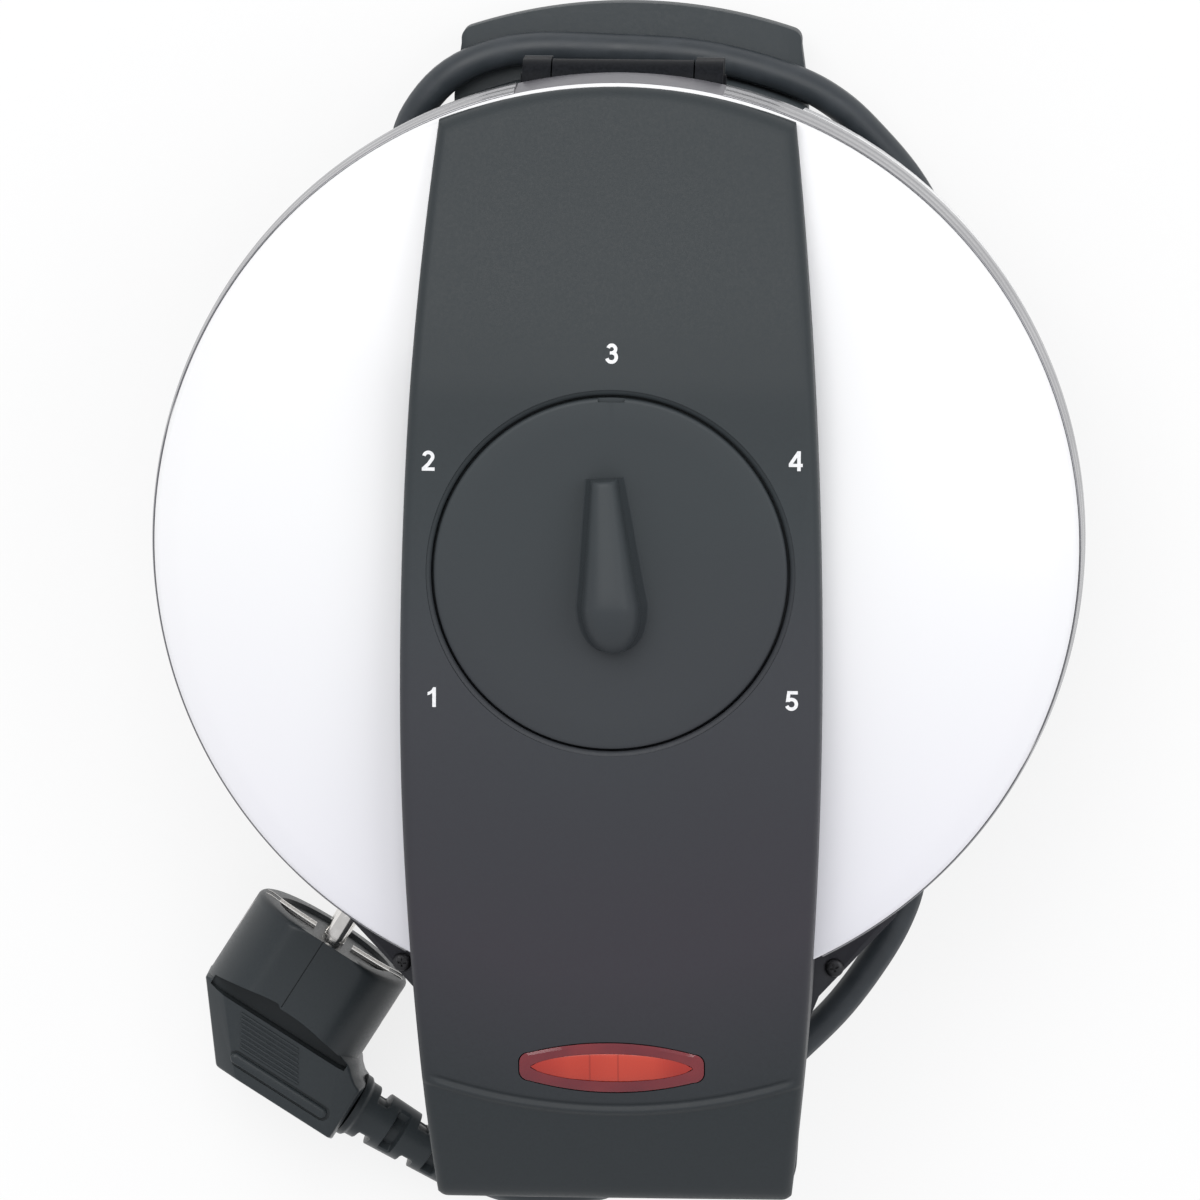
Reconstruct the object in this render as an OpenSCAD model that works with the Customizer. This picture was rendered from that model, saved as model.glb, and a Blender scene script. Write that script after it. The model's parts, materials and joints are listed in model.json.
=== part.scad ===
// Electric krumkake iron: two round baking halves hinged at the rear, with a
// saddle and handle over the upper half, a thermostat dial, and a lead wound
// round the foot. Millimetres. The baking axis is vertical; the handle points
// to -Y, the hinge to +Y and the feet stand on z = 0.

/* [Shells] */
// Radius of the shells at the dome's edge
shell_r = 98; // [96:0.5:104]
// How much each shell's wall widens from its far edge to the parting line
wall_draft = 0.8; // [0.2:0.1:1.5]
// Height of the upper shell's wall
upper_wall_h = 17.4; // [15:0.2:20]
// Height of the lower shell's wall
lower_wall_h = 13.8; // [12:0.2:15]
// Rise of the dome above the upper wall
dome_rise = 15; // [12:0.5:18]
// Sheet thickness of both shells
shell_t = 1.2; // [0.8:0.1:1.6]
// Gap between the two shells at the parting line
shell_gap = 1.8; // [1.4:0.1:2.4]
// Height of the polished trim on the upper wall
trim_h = 14.6; // [12:0.2:14.8]
// Thickness of the polished trim
trim_t = 0.5; // [0.4:0.1:0.8]

/* [Plates] */
// Distance from the shells' edge in to the edge of the baking faces
plate_inset = 14; // [13:0.5:20]
// Thickness of the plates
plate_t = 6; // [5:0.5:7]
// Width of the shoulder that holds a plate in its shell
plate_lip = 5.5; // [4:0.5:6]
// Gap between the closed baking faces, the thickness of a cone wafer
bake_gap = 1.5; // [1:0.1:1.6]
// Depth of the engraved pattern
engraving_d = 0.8; // [0.4:0.1:1.2]
// Width of an engraved line
engraving_w = 1.2; // [0.8:0.1:1.6]
// Radius of the heating rings
heater_r = 58; // [50:1:62]
// Diameter of the heating rings' sheath
heater_d = 6.5; // [5:0.5:8]
// Thickness of the heat reflectors
reflector_t = 1; // [0.6:0.1:1.4]

/* [Base] */
// Height of the rubber feet under the pan
foot_h = 4; // [3:0.5:6]
// Radius of a rubber foot
foot_r = 8; // [6:0.5:9]
// Distance of the feet from the axis
foot_pitch_r = 54; // [48:1:56]
// Radius of the pan's neck, which the lead winds round
neck_r = 70; // [66:0.5:71]
// Height of the neck up to the flare
neck_h = 22; // [20:0.5:24]
// Height of the flare above the neck
flare_h = 16; // [14:0.5:18]
// Height of the rim above the flare
pan_rim_h = 4; // [3:0.5:5]
// Wall thickness of the pan
pan_t = 2.5; // [2:0.1:3.5]
// Distance from the pan's rim up to the parting plane
seat_h = 5.7; // [5.5:0.1:7]

/* [Hinge] */
// Distance of the hinge axis inside the shells' edge
hinge_inset = 2; // [1:0.5:3]
// Depth of the hinge axis below the parting plane
hinge_drop = 5.2; // [5:0.1:6.5]
// Diameter of the hinge pin
hinge_pin_d = 4; // [3:0.5:5]
// Radius of the hinge barrels
barrel_r = 5; // [4:0.25:5.2]
// Length of the lid's middle barrel
lid_barrel_w = 30; // [26:0.4:32]
// Width of one ear of the hinge block
ear_w = 6; // [5:0.5:9]
// Width of the hinge block
block_w = 76; // [74:1:80]
// Thickness of the block's spine
spine_t = 8; // [6:0.5:9]
// Length of the block's rear foot beyond the hinge axis
rear_foot_l = 14; // [12:0.5:18]
// Height of the rear foot's top above the floor
rear_foot_z = 13; // [10:0.5:14]
// Thickness of the rear foot
rear_foot_t = 7; // [5:0.5:7]

/* [Saddle and handles] */
// Length of the handle beyond the shells
handle_l = 44; // [38:1:52]
// Greatest width of the saddle
saddle_w = 90; // [86:0.5:94]
// Radius of the saddle's long sides in plan
side_arc_r = 1060; // [900:10:1300]
// Place of the saddle's greatest width along the length
side_arc_y = -26; // [-34:1:-18]
// Height of the saddle's top above the dome
saddle_rise = 7; // [6.5:0.1:8]
// Wall thickness of the saddle
saddle_t = 2.5; // [2:0.1:3]
// Corner radius of the handle's end
handle_corner_r = 7; // [4:0.5:10]
// Height of the handle's end above the parting plane
handle_end_h = 10.5; // [9:0.5:13]
// Distance of the ridge across the handle beyond the shells
ridge_out = 22; // [20:0.5:24]
// Depth of the lower handle under the parting plane
lower_handle_h = 17; // [15:0.5:20]
// Inset of the lower handle from the upper one
lower_inset = 1.2; // [0.6:0.1:2]

/* [Dial and lamp] */
// Radius of the dial's recess
recess_r = 38.8; // [36:0.1:40]
// Gap round the dial
dial_gap = 1.6; // [0.8:0.1:2]
// Place of the dial's centre along the length
dial_y = -3.2; // [-6:0.2:2]
// Thickness of the dial
dial_t = 3.5; // [3:0.1:3.8]
// Height of the grip above the dial
grip_h = 12; // [8:0.5:16]
// Length of the grip's pointing end
grip_tip = 20.5; // [16:0.5:26]
// Radius of the grip's round end
grip_heel_r = 7.1; // [5:0.1:9]
// Turn of the grip from straight ahead
grip_turn = 3.5; // [0:0.5:8]
// Radius of the dial's spindle
spindle_r = 3; // [2.5:0.1:3.4]
// Width of the lamp window
lens_w = 39.2; // [34:0.2:42]
// Depth of the lamp window at its middle
lens_h = 11.2; // [9:0.2:12]
// Depth of the lamp window at its ends
lens_end_h = 4; // [3:0.2:6]
// Distance of the lamp window's middle beyond the shells
lens_out = 13; // [11:0.5:14]

/* [Lead and plug] */
// Diameter of the lead
cord_d = 6.8; // [6:0.1:6.8]
// Diameter of the plug's round head
plug_d = 37.5; // [35:0.5:38]
// Length of the plug's round head
plug_head_l = 21; // [18:0.5:24]
// Thickness of the plug's grip
plug_grip_t = 24; // [20:0.5:28]
// Diameter of a plug pin
plug_pin_d = 4.8; // [4:0.1:5]
// Length of a plug pin
plug_pin_l = 19; // [17:0.5:20]
// Spacing of the plug's pins
plug_pin_pitch = 19; // [18:0.5:20]

/* [Hidden] */
$fn = 96;

// Clearances
fit = 0.2;          // between pieces that are fixed together
seat = 0.3;         // between pieces that rest on each other across a joint
running = 0.05;     // round a shaft that turns in its hole
eps = 0.01;

// Levels
pan_z = foot_h;
neck_z = pan_z + neck_h;
flare_z = neck_z + flare_h;
pan_rim_z = flare_z + pan_rim_h;
plane_z = pan_rim_z + seat_h;
lower_top_z = plane_z - shell_gap / 2;
upper_foot_z = plane_z + shell_gap / 2;
rim_z = upper_foot_z + upper_wall_h;
dome_z = rim_z + dome_rise;
saddle_z = dome_z + saddle_rise;
lower_face_z = plane_z - bake_gap / 2;
upper_face_z = plane_z + bake_gap / 2;
plate_under_z = lower_face_z - plate_t;
plate_back_z = upper_face_z + plate_t;
hinge_z = plane_z - hinge_drop;
dome_r = (pow(shell_r, 2) + pow(dome_rise, 2)) / (2 * dome_rise);

// Radii
rim_overhang = 5.8;
foot_wall_r = shell_r + wall_draft;
plate_r = shell_r - plate_inset;
shoulder_r = plate_r + plate_lip;
pan_rim_r = foot_wall_r - rim_overhang;
flange_r = plate_r + 2 * fit;
ridge_r = shell_r + ridge_out;

// Places along the length
hinge_y = shell_r - hinge_inset;
rear_reach = hinge_y + rear_foot_l;
handle_reach = shell_r + handle_l;
lens_y = -shell_r - lens_out;

// The whole is centred on its length, so the baking axis stands off the origin
axis_y = (handle_reach - rear_reach) / 2;

module on_axis() translate([0, axis_y, 0]) children();

function unit(v) = v / norm(v);
function total(v, i = 0) = i < len(v) ? v[i] + total(v, i + 1) : 0;

// Smooth curve through the points of a path: n steps between each pair
function path_point(path, i) = path[max(0, min(len(path) - 1, i))];
function smooth(path, i, t) =
    let (a = path_point(path, i - 1), b = path[i], c = path[i + 1], d = path_point(path, i + 2))
    0.5 * (2 * b + (c - a) * t + (2 * a - 5 * b + 4 * c - d) * t * t + (3 * b - a - 3 * c + d) * t * t * t);
function curve(path, n) =
    [for (i = [0 : len(path) - 2]) for (k = [0 : n - 1]) smooth(path, i, k / n), path[len(path) - 1]];

// A tube of rings along a line, with flat ends
module tube(line, d, sides) {
    last = len(line) - 1;
    rings = [for (i = [0 : last])
        let (t = unit(line[min(last, i + 1)] - line[max(0, i - 1)]),
             side = unit(cross(t, [0.01, 0.02, 1])), up = cross(side, t))
        for (k = [0 : sides - 1]) let (a = 360 * (k + 0.5) / sides)
            line[i] + d / 2 * (cos(a) * side + sin(a) * up)];
    walls = [for (i = [0 : last - 1]) for (k = [0 : sides - 1])
        let (n = (k + 1) % sides, p = i * sides)
        each [[p + k, p + n, p + sides + k], [p + n, p + sides + n, p + sides + k]]];
    first_cap = [for (k = [1 : sides - 2]) [0, k + 1, k]];
    last_cap = [for (k = [1 : sides - 2]) [last * sides, last * sides + k, last * sides + k + 1]];
    polyhedron(points = rings, faces = concat(walls, first_cap, last_cap), convexity = 12);
}

// A wire of the inner wiring
wire_d = 1.8;
module wire(path) tube(curve(path, 3), wire_d, 6);

// Copies on a circle, the first at the given angle
module around(count, r, first = 0) {
    for (i = [0 : count - 1]) rotate(first + i * 360 / count) translate([r, 0, 0]) children();
}

// A machine screw with a pan head below and its shank upwards
module screw(shank_r, length, head_r, head_h) {
    cylinder(r = head_r, h = head_h, $fn = 32);
    translate([0, 0, head_h - eps]) cylinder(r = shank_r, h = length + eps, $fn = 32);
}

// Height of the dome at a distance from the axis
function dome_height(r) = dome_z - dome_r + sqrt(pow(dome_r, 2) - r * r);

// The dome's outer surface as a solid, moved out by some distance
module dome_solid(grow) {
    rotate_extrude($fn = 180) intersection() {
        translate([0, dome_z - dome_r]) circle(r = dome_r + grow, $fn = 720);
        translate([0, rim_z - dome_rise]) square([foot_wall_r + grow, 3 * dome_rise]);
    }
}

// Screw posts of the lower half
post_r = 4.5;
post_bore_r = 2.2;
post_pitch_r = 40;
post_first = 30;
boss_h = 13;
boss_r = 4;
boss_bore_r = 1.6;
lower_reflector_z = plate_under_z - boss_h - reflector_t;
screw_head_r = 3.6;
screw_head_h = 2.4;
screw_sink = 0.4;

// Outlet of the lead on the neck's right side
outlet_out = 6;
outlet_x = neck_r + outlet_out;
outlet_y = 20;
outlet_z = 12;
outlet_h = 16;
outlet_w = 14;
outlet_l = 14;
outlet_wall = 1.2;
outlet_bore_r = cord_d / 2 + outlet_wall;

pan_bevel = 4;
pan_fillet = 2.5;

// Floor and neck
module pan_profile() {
    neck_in = neck_r - pan_t;
    floor_z = pan_z + pan_t;
    polygon([
        [0, pan_z], [neck_r - pan_bevel, pan_z], [neck_r, pan_z + pan_bevel], [neck_r, neck_z],
        [neck_in, neck_z], [neck_in, floor_z + pan_fillet], [neck_in - pan_fillet, floor_z],
        [0, floor_z]]);
}

// Flare from the neck out to the rim under the lower shell
module flare_profile() {
    rim_in = pan_rim_r - pan_t;
    polygon([
        [neck_r - pan_t, neck_z], [neck_r, neck_z], [pan_rim_r, flare_z], [pan_rim_r, pan_rim_z],
        [rim_in, pan_rim_z], [rim_in, flare_z + 0.6 * pan_t], [neck_r - pan_t, neck_z + 0.6 * pan_t]]);
}

vent_count = 9;
vent_w = 3;
vent_l = 16;
through = 1;        // how far a cut reaches past a face

module base_pan() {
    color("dimgray") on_axis() difference() {
        union() {
            rotate_extrude($fn = 180) pan_profile();
            around(3, post_pitch_r, post_first) translate([0, 0, pan_z + pan_t - eps])
                cylinder(r = post_r, h = lower_reflector_z - pan_z - pan_t + eps);
            difference() {
                translate([neck_r - pan_t, outlet_y - outlet_l / 2, pan_z])
                    cube([outlet_w, outlet_l, outlet_h]);
                cylinder(r = neck_r - pan_t, h = neck_z);
            }
        }
        around(3, post_pitch_r, post_first) {
            translate([0, 0, pan_z - through]) cylinder(r = post_bore_r, h = lower_reflector_z);
            translate([0, 0, pan_z - through]) cylinder(r = screw_head_r + fit, h = screw_head_h + screw_sink + fit + through);
        }
        around(4, foot_pitch_r, 45) translate([0, 0, pan_z - through])
            cylinder(r = foot_r / 2, h = pan_t + 2 * through);
        // bore of the outlet, and its way through the neck
        translate([outlet_x, outlet_y - outlet_l, outlet_z]) rotate([-90, 0, 0])
            cylinder(r = outlet_bore_r, h = outlet_l + outlet_bore_r - outlet_wall);
        translate([outlet_x - outlet_wall, outlet_y - outlet_wall, outlet_z]) rotate([0, -90, 0])
            cylinder(r = outlet_bore_r, h = outlet_w);
        // vents in the floor
        for (i = [0 : vent_count - 1])
            translate([(i - (vent_count - 1) / 2) * 2 * vent_w - vent_w / 2, -vent_l / 2, pan_z - through])
                cube([vent_w, vent_l, pan_t + 2 * through]);
    }
}

module base_flare() {
    color("dimgray") on_axis() difference() {
        rotate_extrude($fn = 180) flare_profile();
        translate([0, 0, neck_z]) block_gap();
    }
}

// The hinge block's place in the flare and the lower shell
module block_gap() {
    difference() {
        translate([-block_w / 2 - fit, 0, 0]) cube([block_w + 2 * fit, 2 * shell_r, saddle_z]);
        translate([0, 0, -through]) cylinder(r = spine_front_r - fit, h = saddle_z + 2 * through, $fn = 180);
    }
}

module shell_ring(z_foot, up, wall_h) {
    s = up ? 1 : -1;
    z_far = z_foot + s * wall_h;
    polygon([
        [foot_wall_r, z_foot], [shell_r, z_far], [shell_r - shell_t, z_far],
        [foot_wall_r - shell_t, z_foot + s * shell_t], [flange_r, z_foot + s * shell_t],
        [flange_r, z_foot]]);
}

lower_wall_z = lower_top_z - lower_wall_h;
handle_hole_x = 22;
handle_bore_r = 1.5;
handle_hole_y = -(pan_rim_r + 2.6);

module lower_shell() {
    color("white") on_axis() difference() {
        union() {
            rotate_extrude($fn = 180) shell_ring(lower_top_z, false, lower_wall_h);
            rotate_extrude($fn = 180) translate([pan_rim_r + fit, lower_wall_z])
                square([shell_r - pan_rim_r - fit - eps, shell_t]);
        }
        block_gap();
        for (s = [-1, 1]) translate([s * handle_hole_x, handle_hole_y, lower_wall_z - through])
            cylinder(r = handle_bore_r, h = shell_t + 2 * through, $fn = 32);
    }
}

// Outline of a baking plate, with its face at z = 0 and its back downwards
shoulder_drop = shell_t + 0.6;
module plate_solid() {
    rotate_extrude($fn = 180) polygon([
        [0, 0], [plate_r, 0], [plate_r, -shoulder_drop], [shoulder_r, -shoulder_drop],
        [shoulder_r, -plate_t], [0, -plate_t]]);
}

// Engraving of a baking face: three rings, a six-petal rosette and a rayed border
heart_r = 16;
border_w = 32;
border_edge = 6;
petal_shrink = 4;
petal_count = 6;
ray_count = 24;
ray_gap = [5, 4];
ring_groove_r = [heart_r, plate_r - border_w, plate_r - border_edge];
petal_r = (plate_r - border_w) / 2;
ray_first_r = plate_r - border_w + ray_gap[0];
ray_last_r = plate_r - border_edge - ray_gap[1];

module engraving() {
    for (r = ring_groove_r) difference() {
        cylinder(r = r + engraving_w / 2, h = 2 * engraving_d, center = true);
        cylinder(r = r - engraving_w / 2, h = 3 * engraving_d, center = true);
    }
    around(petal_count, petal_r, 180 / petal_count) difference() {
        cylinder(r = petal_r - petal_shrink + engraving_w / 2, h = 2 * engraving_d, center = true);
        cylinder(r = petal_r - petal_shrink - engraving_w / 2, h = 3 * engraving_d, center = true);
    }
    around(ray_count, (ray_first_r + ray_last_r) / 2)
        cube([ray_last_r - ray_first_r, engraving_w, 2 * engraving_d], center = true);
}

module lower_plate() {
    color("slategray") on_axis() translate([0, 0, lower_face_z]) difference() {
        union() {
            plate_solid();
            around(3, post_pitch_r, post_first) translate([0, 0, -plate_t - boss_h])
                cylinder(r = boss_r, h = boss_h + eps);
        }
        engraving();
        around(3, post_pitch_r, post_first) translate([0, 0, -plate_t - boss_h - through])
            cylinder(r = boss_bore_r, h = boss_h);
    }
}

heater_gap_a = 36;
terminal_l = 8;
terminal_in_a = 3;
terminal_slim = 1.5;
terminal_a = heater_gap_a / 2 + terminal_in_a;

// Heating ring against the back of a plate, its two ends turned away from the plate
module heater(back) {
    s = back ? 1 : -1;
    z = back ? plate_back_z + heater_d / 2 : plate_under_z - heater_d / 2;
    translate([0, 0, z]) {
        rotate(90 + heater_gap_a / 2) rotate_extrude(angle = 360 - heater_gap_a, $fn = 120)
            translate([heater_r, 0]) circle(d = heater_d, $fn = 32);
        for (a = [-1, 1]) rotate(90 + a * terminal_a) translate([heater_r, 0, 0])
            mirror([0, 0, back ? 0 : 1])
                cylinder(d = heater_d - terminal_slim, h = heater_d / 2 + terminal_l, $fn = 32);
    }
}

module lower_heater() { color("rosybrown") on_axis() heater(false); }

reflector_flat_r = 50;
reflector_r = plate_r - 2;
reflector_lift = 9;
reflector_hole_r = 6;

module reflector_profile() {
    polygon([
        [reflector_hole_r, 0], [reflector_flat_r, 0], [reflector_r, reflector_lift],
        [reflector_r, reflector_lift + reflector_t], [reflector_flat_r, reflector_t],
        [reflector_hole_r, reflector_t]]);
}

// Holes in a reflector for the heater's ends and the plate's screws
module reflector_holes() {
    around(3, post_pitch_r, post_first) translate([0, 0, -through])
        cylinder(r = boss_bore_r + seat, h = reflector_t + 2 * through);
    for (a = [-1, 1]) rotate(90 + a * terminal_a) translate([heater_r, 0, -reflector_lift])
        cylinder(d = heater_d, h = 3 * reflector_lift);
}

module lower_reflector() {
    color("silver") on_axis() translate([0, 0, lower_reflector_z]) difference() {
        rotate_extrude($fn = 120) reflector_profile();
        reflector_holes();
    }
}

module lower_plate_screws() {
    head_z = pan_z + screw_sink;
    tip_z = plate_under_z - pan_t;
    color("gainsboro") on_axis() around(3, post_pitch_r, post_first) translate([0, 0, head_z])
        screw(boss_bore_r - running, tip_z - head_z - screw_head_h, screw_head_r, screw_head_h);
}

foot_bevel = 1;

module rubber_feet() {
    color("black") on_axis() around(4, foot_pitch_r, 45) {
        cylinder(r1 = foot_r - foot_bevel, r2 = foot_r, h = foot_bevel, $fn = 48);
        translate([0, 0, foot_bevel - eps]) cylinder(r = foot_r, h = foot_h - foot_bevel, $fn = 48);
        cylinder(r = foot_r / 2 - 0.1, h = foot_h + pan_t + foot_bevel, $fn = 48);
    }
}

spine_back_r = hinge_y + seat;
spine_front_r = spine_back_r - spine_t;
rear_foot_w = 73;
rear_foot_arc_r = 112;
foot_root_in = 6;
foot_root_y = hinge_y - foot_root_in;
foot_root_taper = 11;
web_w = 60;
web_h = 18;
spine_top_z = hinge_z - barrel_r - 0.8;
block_bevel = 2.5;
pin_out = 1;
hinge_gap_w = lid_barrel_w + 2 * (seat + ear_w) + 2 * pin_out;
plate_room = 1;

module hinge_block() {
    color("dimgray") on_axis() difference() {
        union() {
            // spine, curved with the shells and lowered between its shoulders
            translate([0, 0, rear_foot_z - rear_foot_t]) difference() {
                cylinder(r = spine_back_r, h = lower_top_z - rear_foot_z + rear_foot_t, $fn = 180);
                translate([0, 0, -through]) cylinder(r = spine_front_r, h = saddle_z, $fn = 180);
                translate([-2 * shell_r, -2 * shell_r, -through]) cube([4 * shell_r, 2 * shell_r, saddle_z]);
                for (s = [-1, 1]) translate([s * (shell_r + block_w / 2) - shell_r, 0, -through])
                    cube([2 * shell_r, 2 * shell_r, saddle_z]);
                translate([0, 0, spine_top_z - rear_foot_z + rear_foot_t]) {
                    translate([-hinge_gap_w / 2, 0, 0]) cube([hinge_gap_w, 2 * shell_r, saddle_z]);
                    cylinder(r = shoulder_r + plate_room, h = saddle_z, $fn = 180);
                }
            }
            // rear foot, with an arched edge
            translate([0, 0, rear_foot_z - rear_foot_t]) linear_extrude(rear_foot_t)
                offset(r = block_bevel, $fn = 32) offset(delta = -block_bevel) intersection() {
                    union() {
                        translate([-rear_foot_w / 2, spine_front_r - spine_t]) square([rear_foot_w, shell_r]);
                        polygon([[-rear_foot_w / 2, foot_root_y + foot_root_taper], [-block_w / 2, foot_root_y],
                            [-block_w / 2, spine_front_r - spine_t], [block_w / 2, spine_front_r - spine_t],
                            [block_w / 2, foot_root_y], [rear_foot_w / 2, foot_root_y + foot_root_taper]]);
                    }
                    translate([0, rear_reach - rear_foot_arc_r]) circle(r = rear_foot_arc_r, $fn = 360);
                }
            // web to the neck
            translate([0, 0, rear_foot_z - rear_foot_t]) difference() {
                translate([-web_w / 2, 0, 0]) cube([web_w, spine_front_r, web_h]);
                translate([0, 0, -through]) cylinder(r = neck_r + fit, h = web_h + 2 * through, $fn = 180);
            }
            // ears
            for (s = [-1, 1]) translate([s * (lid_barrel_w / 2 + seat + ear_w / 2), 0, 0]) {
                translate([0, hinge_y, hinge_z]) rotate([0, 90, 0])
                    cylinder(r = barrel_r, h = ear_w, center = true);
                translate([-ear_w / 2, hinge_y - barrel_r, spine_top_z - through])
                    cube([ear_w, 2 * barrel_r, hinge_z - spine_top_z + through]);
            }
        }
        rotate([0, 90, 0]) translate([-hinge_z, hinge_y, 0])
            cylinder(d = hinge_pin_d + 2 * running, h = 2 * shell_r, center = true);
    }
}

module hinge_pin() {
    pin_l = lid_barrel_w + 2 * (seat + ear_w) + pin_out;
    color("silver") on_axis() translate([0, hinge_y, hinge_z]) rotate([0, 90, 0])
        cylinder(d = hinge_pin_d, h = pin_l, center = true);
}

// Outline of the saddle and handle in plan, drawn in by some inset
module saddle_plan(inset = 0) {
    intersection() {
        for (s = [-1, 1]) translate([s * (side_arc_r - saddle_w / 2), side_arc_y])
            circle(r = side_arc_r - inset, $fn = 1440);
        offset(r = handle_corner_r - inset, $fn = 64) offset(r = -handle_corner_r)
            translate([-saddle_w / 2, -handle_reach]) square([saddle_w, 2 * handle_reach]);
    }
}

// Half width of the saddle at a place along the length
function half_w(y) = sqrt(pow(side_arc_r, 2) - pow(y - side_arc_y, 2)) - side_arc_r + saddle_w / 2;

module handle_plan(inset) {
    y_end = -handle_reach + inset;
    w_end = half_w(-handle_reach) - inset;
    w_in = half_w(-shell_r) - inset;
    offset(r = handle_corner_r, $fn = 64) offset(delta = -handle_corner_r)
        polygon([[-w_end, y_end], [w_end, y_end], [w_in, plan_y], [-w_in, plan_y]]);
}
plan_in = 20;
plan_y = -shell_r + plan_in;

lower_handle_top = plane_z - seat / 2;
yoke_r = foot_wall_r + seat;
yoke_out = 5.4;
yoke_w = 17;
yoke_x = saddle_w / 2 + yoke_w;
yoke_back = 22;
yoke_slant = [3, 5];
yoke_front_x = saddle_w / 2 - 2;

// Plan of the lower handle's yoke beside the shell
module yoke_half() {
    w = half_w(-yoke_r - yoke_out) - lower_inset;
    polygon([
        [0, 0], [0, -yoke_r - yoke_out], [w, -yoke_r - yoke_out], [yoke_front_x, -yoke_r - fit],
        [yoke_x - yoke_slant.x, -yoke_r + yoke_back - yoke_slant.y], [yoke_x, -yoke_r + yoke_back]]);
}

module yoke_plan() {
    difference() {
        union() { yoke_half(); mirror([1, 0]) yoke_half(); }
        circle(r = yoke_r, $fn = 360);
    }
}

tongue_t = 5;
tongue_w = 66;
tongue_z = lower_wall_z - fit - tongue_t;
yoke_top_z = lower_top_z - 1.2;
handle_wall = 2.6;
handle_end_wall = 8;
handle_tail = 14;
tail_run = 4;
tail_drop = [9, 7];
yoke_screw_x = half_w(-yoke_r) - lower_inset + 5;
yoke_screw_r = yoke_r + 4.8;
yoke_screw_bore_r = 1.2;
yoke_screw_l = 6;

module at_yoke_screws() {
    for (s = [-1, 1])
        translate([s * yoke_screw_x, -sqrt(pow(yoke_screw_r, 2) - pow(yoke_screw_x, 2)), 0]) children();
}

// The lower handle's under line seen from the side, moved in by some depth
module handle_side(depth, top_z) {
    polygon([
        [-handle_reach, top_z], [0, top_z], [0, tongue_z + depth], [-shell_r - handle_tail, tongue_z + depth],
        [-handle_reach + tail_run, lower_handle_top - tail_drop[0] + depth],
        [-handle_reach, lower_handle_top - tail_drop[1] + depth]]);
}

// Inside of the lower handle in plan, with a gap all round
module handle_hollow_plan(gap) {
    intersection() {
        handle_plan(lower_inset + handle_wall + gap);
        translate([-saddle_w, -handle_reach + handle_end_wall + gap])
            square([2 * saddle_w, handle_reach - handle_end_wall - yoke_r - 3 - 2 * gap]);
    }
}

module lower_handle() {
    color("dimgray") on_axis() difference() {
        union() {
            translate([0, 0, tongue_z]) linear_extrude(yoke_top_z - tongue_z) yoke_plan();
            difference() {
                intersection() {
                    translate([0, 0, tongue_z - through])
                        linear_extrude(lower_handle_top - tongue_z + through) handle_plan(lower_inset);
                    rotate([90, 0, 90]) linear_extrude(2 * saddle_w, center = true)
                        handle_side(0, lower_handle_top);
                }
                translate([0, 0, -through]) cylinder(r = yoke_r, h = saddle_z, $fn = 360);
            }
            // tongue under the shell
            intersection() {
                translate([0, 0, tongue_z]) difference() {
                    cylinder(r = yoke_r + handle_wall, h = tongue_t, $fn = 360);
                    translate([0, 0, -through])
                        cylinder(r = pan_rim_r + fit, h = tongue_t + 2 * through, $fn = 360);
                }
                translate([-tongue_w / 2, -handle_reach, 0]) cube([tongue_w, handle_reach, saddle_z]);
            }
        }
        for (s = [-1, 1]) translate([s * handle_hole_x, handle_hole_y, 0])
            cylinder(r = handle_bore_r, h = saddle_z, $fn = 32);
        at_yoke_screws() translate([0, 0, yoke_top_z - yoke_screw_l - 2])
            cylinder(r = yoke_screw_bore_r, h = 2 * yoke_screw_l, $fn = 32);
        // hollow from below, closed by the cover
        translate([0, 0, tongue_z - through])
            linear_extrude(lower_handle_top - handle_wall - tongue_z + through) handle_hollow_plan(0);
    }
}

cover_t = 2.2;

module lower_handle_cover() {
    color("dimgray") on_axis() intersection() {
        translate([0, 0, tongue_z]) linear_extrude(saddle_z) handle_hollow_plan(fit);
        rotate([90, 0, 90]) linear_extrude(2 * saddle_w, center = true) difference() {
            handle_side(0, lower_handle_top);
            handle_side(cover_t, saddle_z);
        }
    }
}

handle_head_r = 2.8;
handle_head_h = 1.6;

module lower_handle_screws() {
    color("gainsboro") on_axis() {
        for (s = [-1, 1]) translate([s * handle_hole_x, handle_hole_y, tongue_z - handle_head_h])
            screw(handle_bore_r - 0.1, tongue_t + shell_t + through, handle_head_r, handle_head_h);
        at_yoke_screws() translate([0, 0, yoke_top_z + through]) mirror([0, 0, 1])
            screw(yoke_screw_bore_r - 0.1, yoke_screw_l, 2, 1);
    }
}

relief_l = 24;
relief_wall = 2;
relief_tip_wall = 0.9;
collar_t = 2;
collar_out = 0.8;
gland_l = 8;

module cord_gland() {
    hole_r = cord_d / 2 + 0.1;
    root_r = cord_d / 2 + relief_wall;
    color("black") on_axis() translate([outlet_x, outlet_y - outlet_l / 2, outlet_z]) rotate([90, 0, 0]) {
        rotate_extrude($fn = 48) polygon([
            [hole_r, 0], [root_r + collar_out, 0], [root_r + collar_out, collar_t],
            [root_r, collar_t + 0.6 * collar_out], [cord_d / 2 + relief_tip_wall, relief_l], [hole_r, relief_l]]);
        translate([0, 0, -gland_l]) difference() {
            cylinder(r = outlet_bore_r - 0.1, h = gland_l + eps, $fn = 48);
            translate([0, 0, -through]) cylinder(r = hole_r, h = gland_l + 3 * through, $fn = 48);
        }
    }
}

// Inner parts on the pan's floor
clamp_size = [12, 16, 9];
clamp_in = 20;
clamp_x = neck_r - clamp_in;
clamp_bore_z = 5.4;
clamp_face_x = clamp_x - clamp_size.x / 2;

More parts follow.
